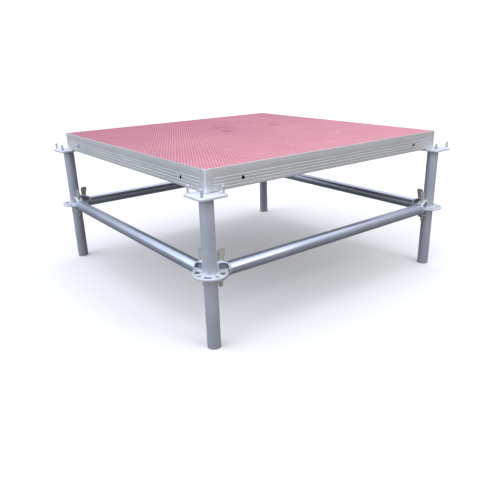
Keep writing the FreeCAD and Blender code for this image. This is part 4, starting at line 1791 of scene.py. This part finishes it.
@dataclass
class DeckTop:
    """Panel, screws, cross beams and pin sockets.

    Attributes:
        grid: spacing of the screws and of the beams.
        edge_inset: from the deck's edge to the edge screws.
        head: radius of a screw's countersunk head.
        shank: radius of its shank.
        recess: half the recess's width across its flats.
        beam_wall: wall of a beam.
        socket_side, socket_hole, socket_inset: a socket plate's side, its hole's radius, and
            how far the hole's middle is from the plate's outer sides.
    """

    grid: float = 305 * MM
    edge_inset: float = 15 * MM
    head: float = 5 * MM
    shank: float = 2 * MM
    recess: float = 2.3 * MM
    beam_wall: float = 2.5 * MM
    socket_side: float = 40 * MM
    socket_hole: float = 6 * MM
    socket_inset: float = 10 * MM
    beams: tuple[str, ...] = ("front", "middle", "back")
    body: str = "deck"

    def __post_init__(self) -> None:
        """Read the panel's box and the deck's half width from the frame."""
        self.low, self.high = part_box("deck_panel")
        self.half_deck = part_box("corner_post_back_right")[1].x

    def screw_places(self) -> Points:
        """A grid over the beams and a row along each rail, as x, y.

        Returns:
            Rows of x, y.
        """
        steps = np.array([-1, 0, 1]) * self.grid
        middle = np.stack(np.meshgrid(steps, steps), axis=-1).reshape(-1, 2)
        edge = self.half_deck - self.edge_inset
        row = np.stack([np.repeat([-edge, edge], 3), np.tile(steps, 2)], axis=1)
        return np.concatenate([middle, row, row[:, ::-1]])

    def build(self) -> None:
        """Make and settle every piece of the deck inside its frame."""
        self.build_panel()
        self.build_screws()
        for name in self.beams:
            self.build_beam(name)
        self.build_sockets()
        self.build_welds()

    def build_panel(self) -> None:
        """Plywood panel with rounded corners and a countersink for each screw."""
        half = (self.high.x - self.low.x) / 2
        rows = slab(rectangle(half, half, 0.8 * MM), self.low.z, self.high.z, 0.4 * MM)
        panel = Shell().grid(rows).build("panel")
        gap, below = 0.1 * MM, -30 * MM
        shank = self.shank + gap
        cone = [
            (0, MM), (self.head + MM + gap, MM), (shank, self.shank - self.head),
            (shank, below), (0, below),
        ]
        bit = Shell().grid(lathe(cone, 32))
        tool = Shell()
        for x, y in self.screw_places():
            tool.join(bit, Place(x, y, self.high.z))
        carve(panel, tool.build("countersink"))
        finish = AntiSlipPanel("anti_slip_panel", self.low.z, self.high.z)
        WORKSHOP.settle(panel, finish, self.body, "deck_film", "deck_panel")

    def screw(self) -> Shell:
        """Countersunk screw below z = 0: a hexagon recess, a flat head, a cone and a shank."""
        turn = np.arange(36) * 2 * np.pi / 36
        around = np.stack([np.cos(turn), np.sin(turn)], axis=1)
        facet = np.cos((turn + np.pi / 6) % (np.pi / 3) - np.pi / 6)[:, None]
        hexagon = around * self.recess / facet
        top, depth = -0.15 * MM, -1.9 * MM
        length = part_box("deck_screws")[1].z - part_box("deck_screws")[0].z
        rings = [
            (0 * around, depth), (hexagon, depth), (hexagon, top),
            (around * (self.head - 0.3 * MM), top),
            (around * (self.head - 0.12 * MM), top - 0.15 * MM),
            (around * self.shank, self.shank - self.head), (around * self.shank, MM - length),
            (0 * around, -length),
        ]
        return Shell().grid(np.stack([at_height(ring, height) for ring, height in rings]))

    def build_screws(self) -> None:
        """All the deck screws as one group."""
        screw, group = self.screw(), Shell()
        for x, y in self.screw_places():
            group.join(screw, Place(x, y, self.high.z))
        screws = group.build("screws")
        WORKSHOP.settle(screws, SCREW_ZINC, self.body, "screw_steel", "deck_screws")

    def build_beam(self, name: str) -> None:
        """Box-section beam between the left and right rails.

        Args:
            name: which beam.
        """
        low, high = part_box(f"cross_beam_{name}")
        half_y, half_z = (high.y - low.y) / 2, (high.z - low.z) / 2
        middle = ((low.y + high.y) / 2, (low.z + high.z) / 2)
        outside = rectangle(half_y, half_z, 2 * MM, 5) + middle
        inside = rectangle(half_y - self.beam_wall, half_z - self.beam_wall, MM, 5) + middle
        rows = [drawn_out(outside, (low.x, high.x)), drawn_out(inside, (high.x, low.x))]
        beam = Shell().grid(np.concatenate(rows), wrap_rows=True).build(f"beam_{name}")
        WORKSHOP.settle(beam, BEAM_METAL, self.body, "beam_aluminium", f"cross_beam_{name}")

    def build_sockets(self) -> None:
        """Four socket plates: a rounded square cell with a round hole and a closed side."""
        low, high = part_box("pin_sockets")
        half_side, half = self.socket_side / 2, (high.z - low.z) / 2
        inset_by = self.socket_inset
        square = square_edge(8)
        border = pulled_round(square, half_side, half_side, 2 * MM)
        around = np.arctan2(square[:, 1], square[:, 0])
        circle = np.stack([np.cos(around), np.sin(around)], axis=1)
        group = Shell()
        for corner in Corner:
            sign = corner.put(-1, -1)[:2]

            def hole(grow: float, middle: Points = sign * (half_side - inset_by)) -> Points:
                """Outline of the round hole, moved out by a distance."""
                return circle * (self.socket_hole + grow) + middle

            plate = Shell().grid(holed_cell(hole, border, half, 0.6 * MM))
            plate.grid(np.stack([at_height(border, half), at_height(border, -half)]))
            middle = Place(*(sign * (high.x - half_side)), (low.z + high.z) / 2)
            group.join(plate, middle)
        sockets = group.build("sockets")
        WORKSHOP.settle(sockets, POST_CASTING, self.body, "post_aluminium", "pin_sockets")

    def build_welds(self) -> None:
        """Upright beads where the beams meet the rails."""
        beads, short = Shell(), 3 * MM
        for name in self.beams:
            low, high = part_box(f"cross_beam_{name}")
            for x in (low.x, high.x):
                for y in (low.y, high.y):
                    ends = (x, y, low.z + short), (x, y, high.z - short)
                    beads.grid(bead_line(*ends, 2 * MM))
        welds = beads.build("beam_welds")
        WORKSHOP.settle(welds, WELD_ZINC, self.body, "beam_aluminium")


# ---------------------------------------------------------------- studio


@dataclass(frozen=True)
class Studio:
    """Pale floor, soft lights and the camera.

    Attributes:
        camera_at: where the camera stands.
        heading, tilt, roll: its turn from +Y towards +X, its dip and its lean, in degrees.
        lens: focal length on a 36 mm sensor.
        shift: the frame's small offset.
        floor_half: half the floor's side.
    """

    camera_at: tuple[float, float, float] = (-1.4769, -1.9732, 0.9516)
    heading: float = 37.933
    tilt: float = 20.608
    roll: float = -1.331
    lens: float = 37.608
    shift: tuple[float, float] = (-0.0120, 0.0063)
    floor_half: float = 40.0

    def build(self) -> None:
        """Make the floor, the lights, the surroundings and the camera."""
        self.build_floor()
        self.build_light("key", (0.6, -3.6, 2.4), (0, 0, 0.4), 1.6, 32)
        bpy.context.scene.world = SoftSky().world()
        bpy.context.scene.view_settings.view_transform = "Standard"
        self.build_camera()

    def build_floor(self) -> None:
        """A wide flat floor."""
        square = square_edge(1) * self.floor_half
        floor = Shell().add(at_height(square, 0), np.array([[0, 1, 2, 3]])).build("floor")
        WORKSHOP.paint(floor, StudioFloor())

    @staticmethod
    def build_light(
        name: str, at: Sequence[float], aim: Sequence[float], size: float, power: float
    ) -> None:
        """A square soft light that points at a spot.

        Args:
            name: the light's name.
            at, aim: where it stands and points.
            size, power: side of its square, and its watts.
        """
        lamp = bpy.data.lights.new(name, "AREA")
        lamp.size = size
        lamp.energy = power
        light = bpy.data.objects.new(name, lamp)
        light.location = at
        light.rotation_euler = (Vector(aim) - Vector(at)).to_track_quat("-Z", "Y").to_euler()
        bpy.context.scene.collection.objects.link(light)

    def build_camera(self) -> None:
        """The camera at its viewing angle."""
        lens = bpy.data.cameras.new("camera")
        lens.sensor_width = 36
        lens.lens = self.lens
        lens.shift_x, lens.shift_y = self.shift
        camera = bpy.data.objects.new("camera", lens)
        heading, tilt = math.radians(self.heading), math.radians(self.tilt)
        level = math.cos(tilt)
        ahead = Vector((math.sin(heading) * level, math.cos(heading) * level, -math.sin(tilt)))
        lean = Matrix.Rotation(math.radians(self.roll), 4, "Z")
        aim = ahead.to_track_quat("-Z", "Y").to_matrix().to_4x4()
        camera.matrix_world = Matrix.Translation(self.camera_at) @ aim @ lean
        bpy.context.scene.collection.objects.link(camera)
        bpy.context.scene.camera = camera


def main() -> None:
    """Build the object from the floor up, and then the studio round it."""
    logging.basicConfig(level=logging.INFO, format="%(name)s: %(message)s")
    for corner in Corner:
        Leg(corner).build()
    head = WedgeHead()
    casting = head.shell()
    for side in Side:
        Ledger(side, casting, head).build()
        Rail(side).build()
    for corner in Corner:
        CornerPost(corner).build()
    DeckTop().build()
    Studio().build()


if __name__ == "__main__":
    main()
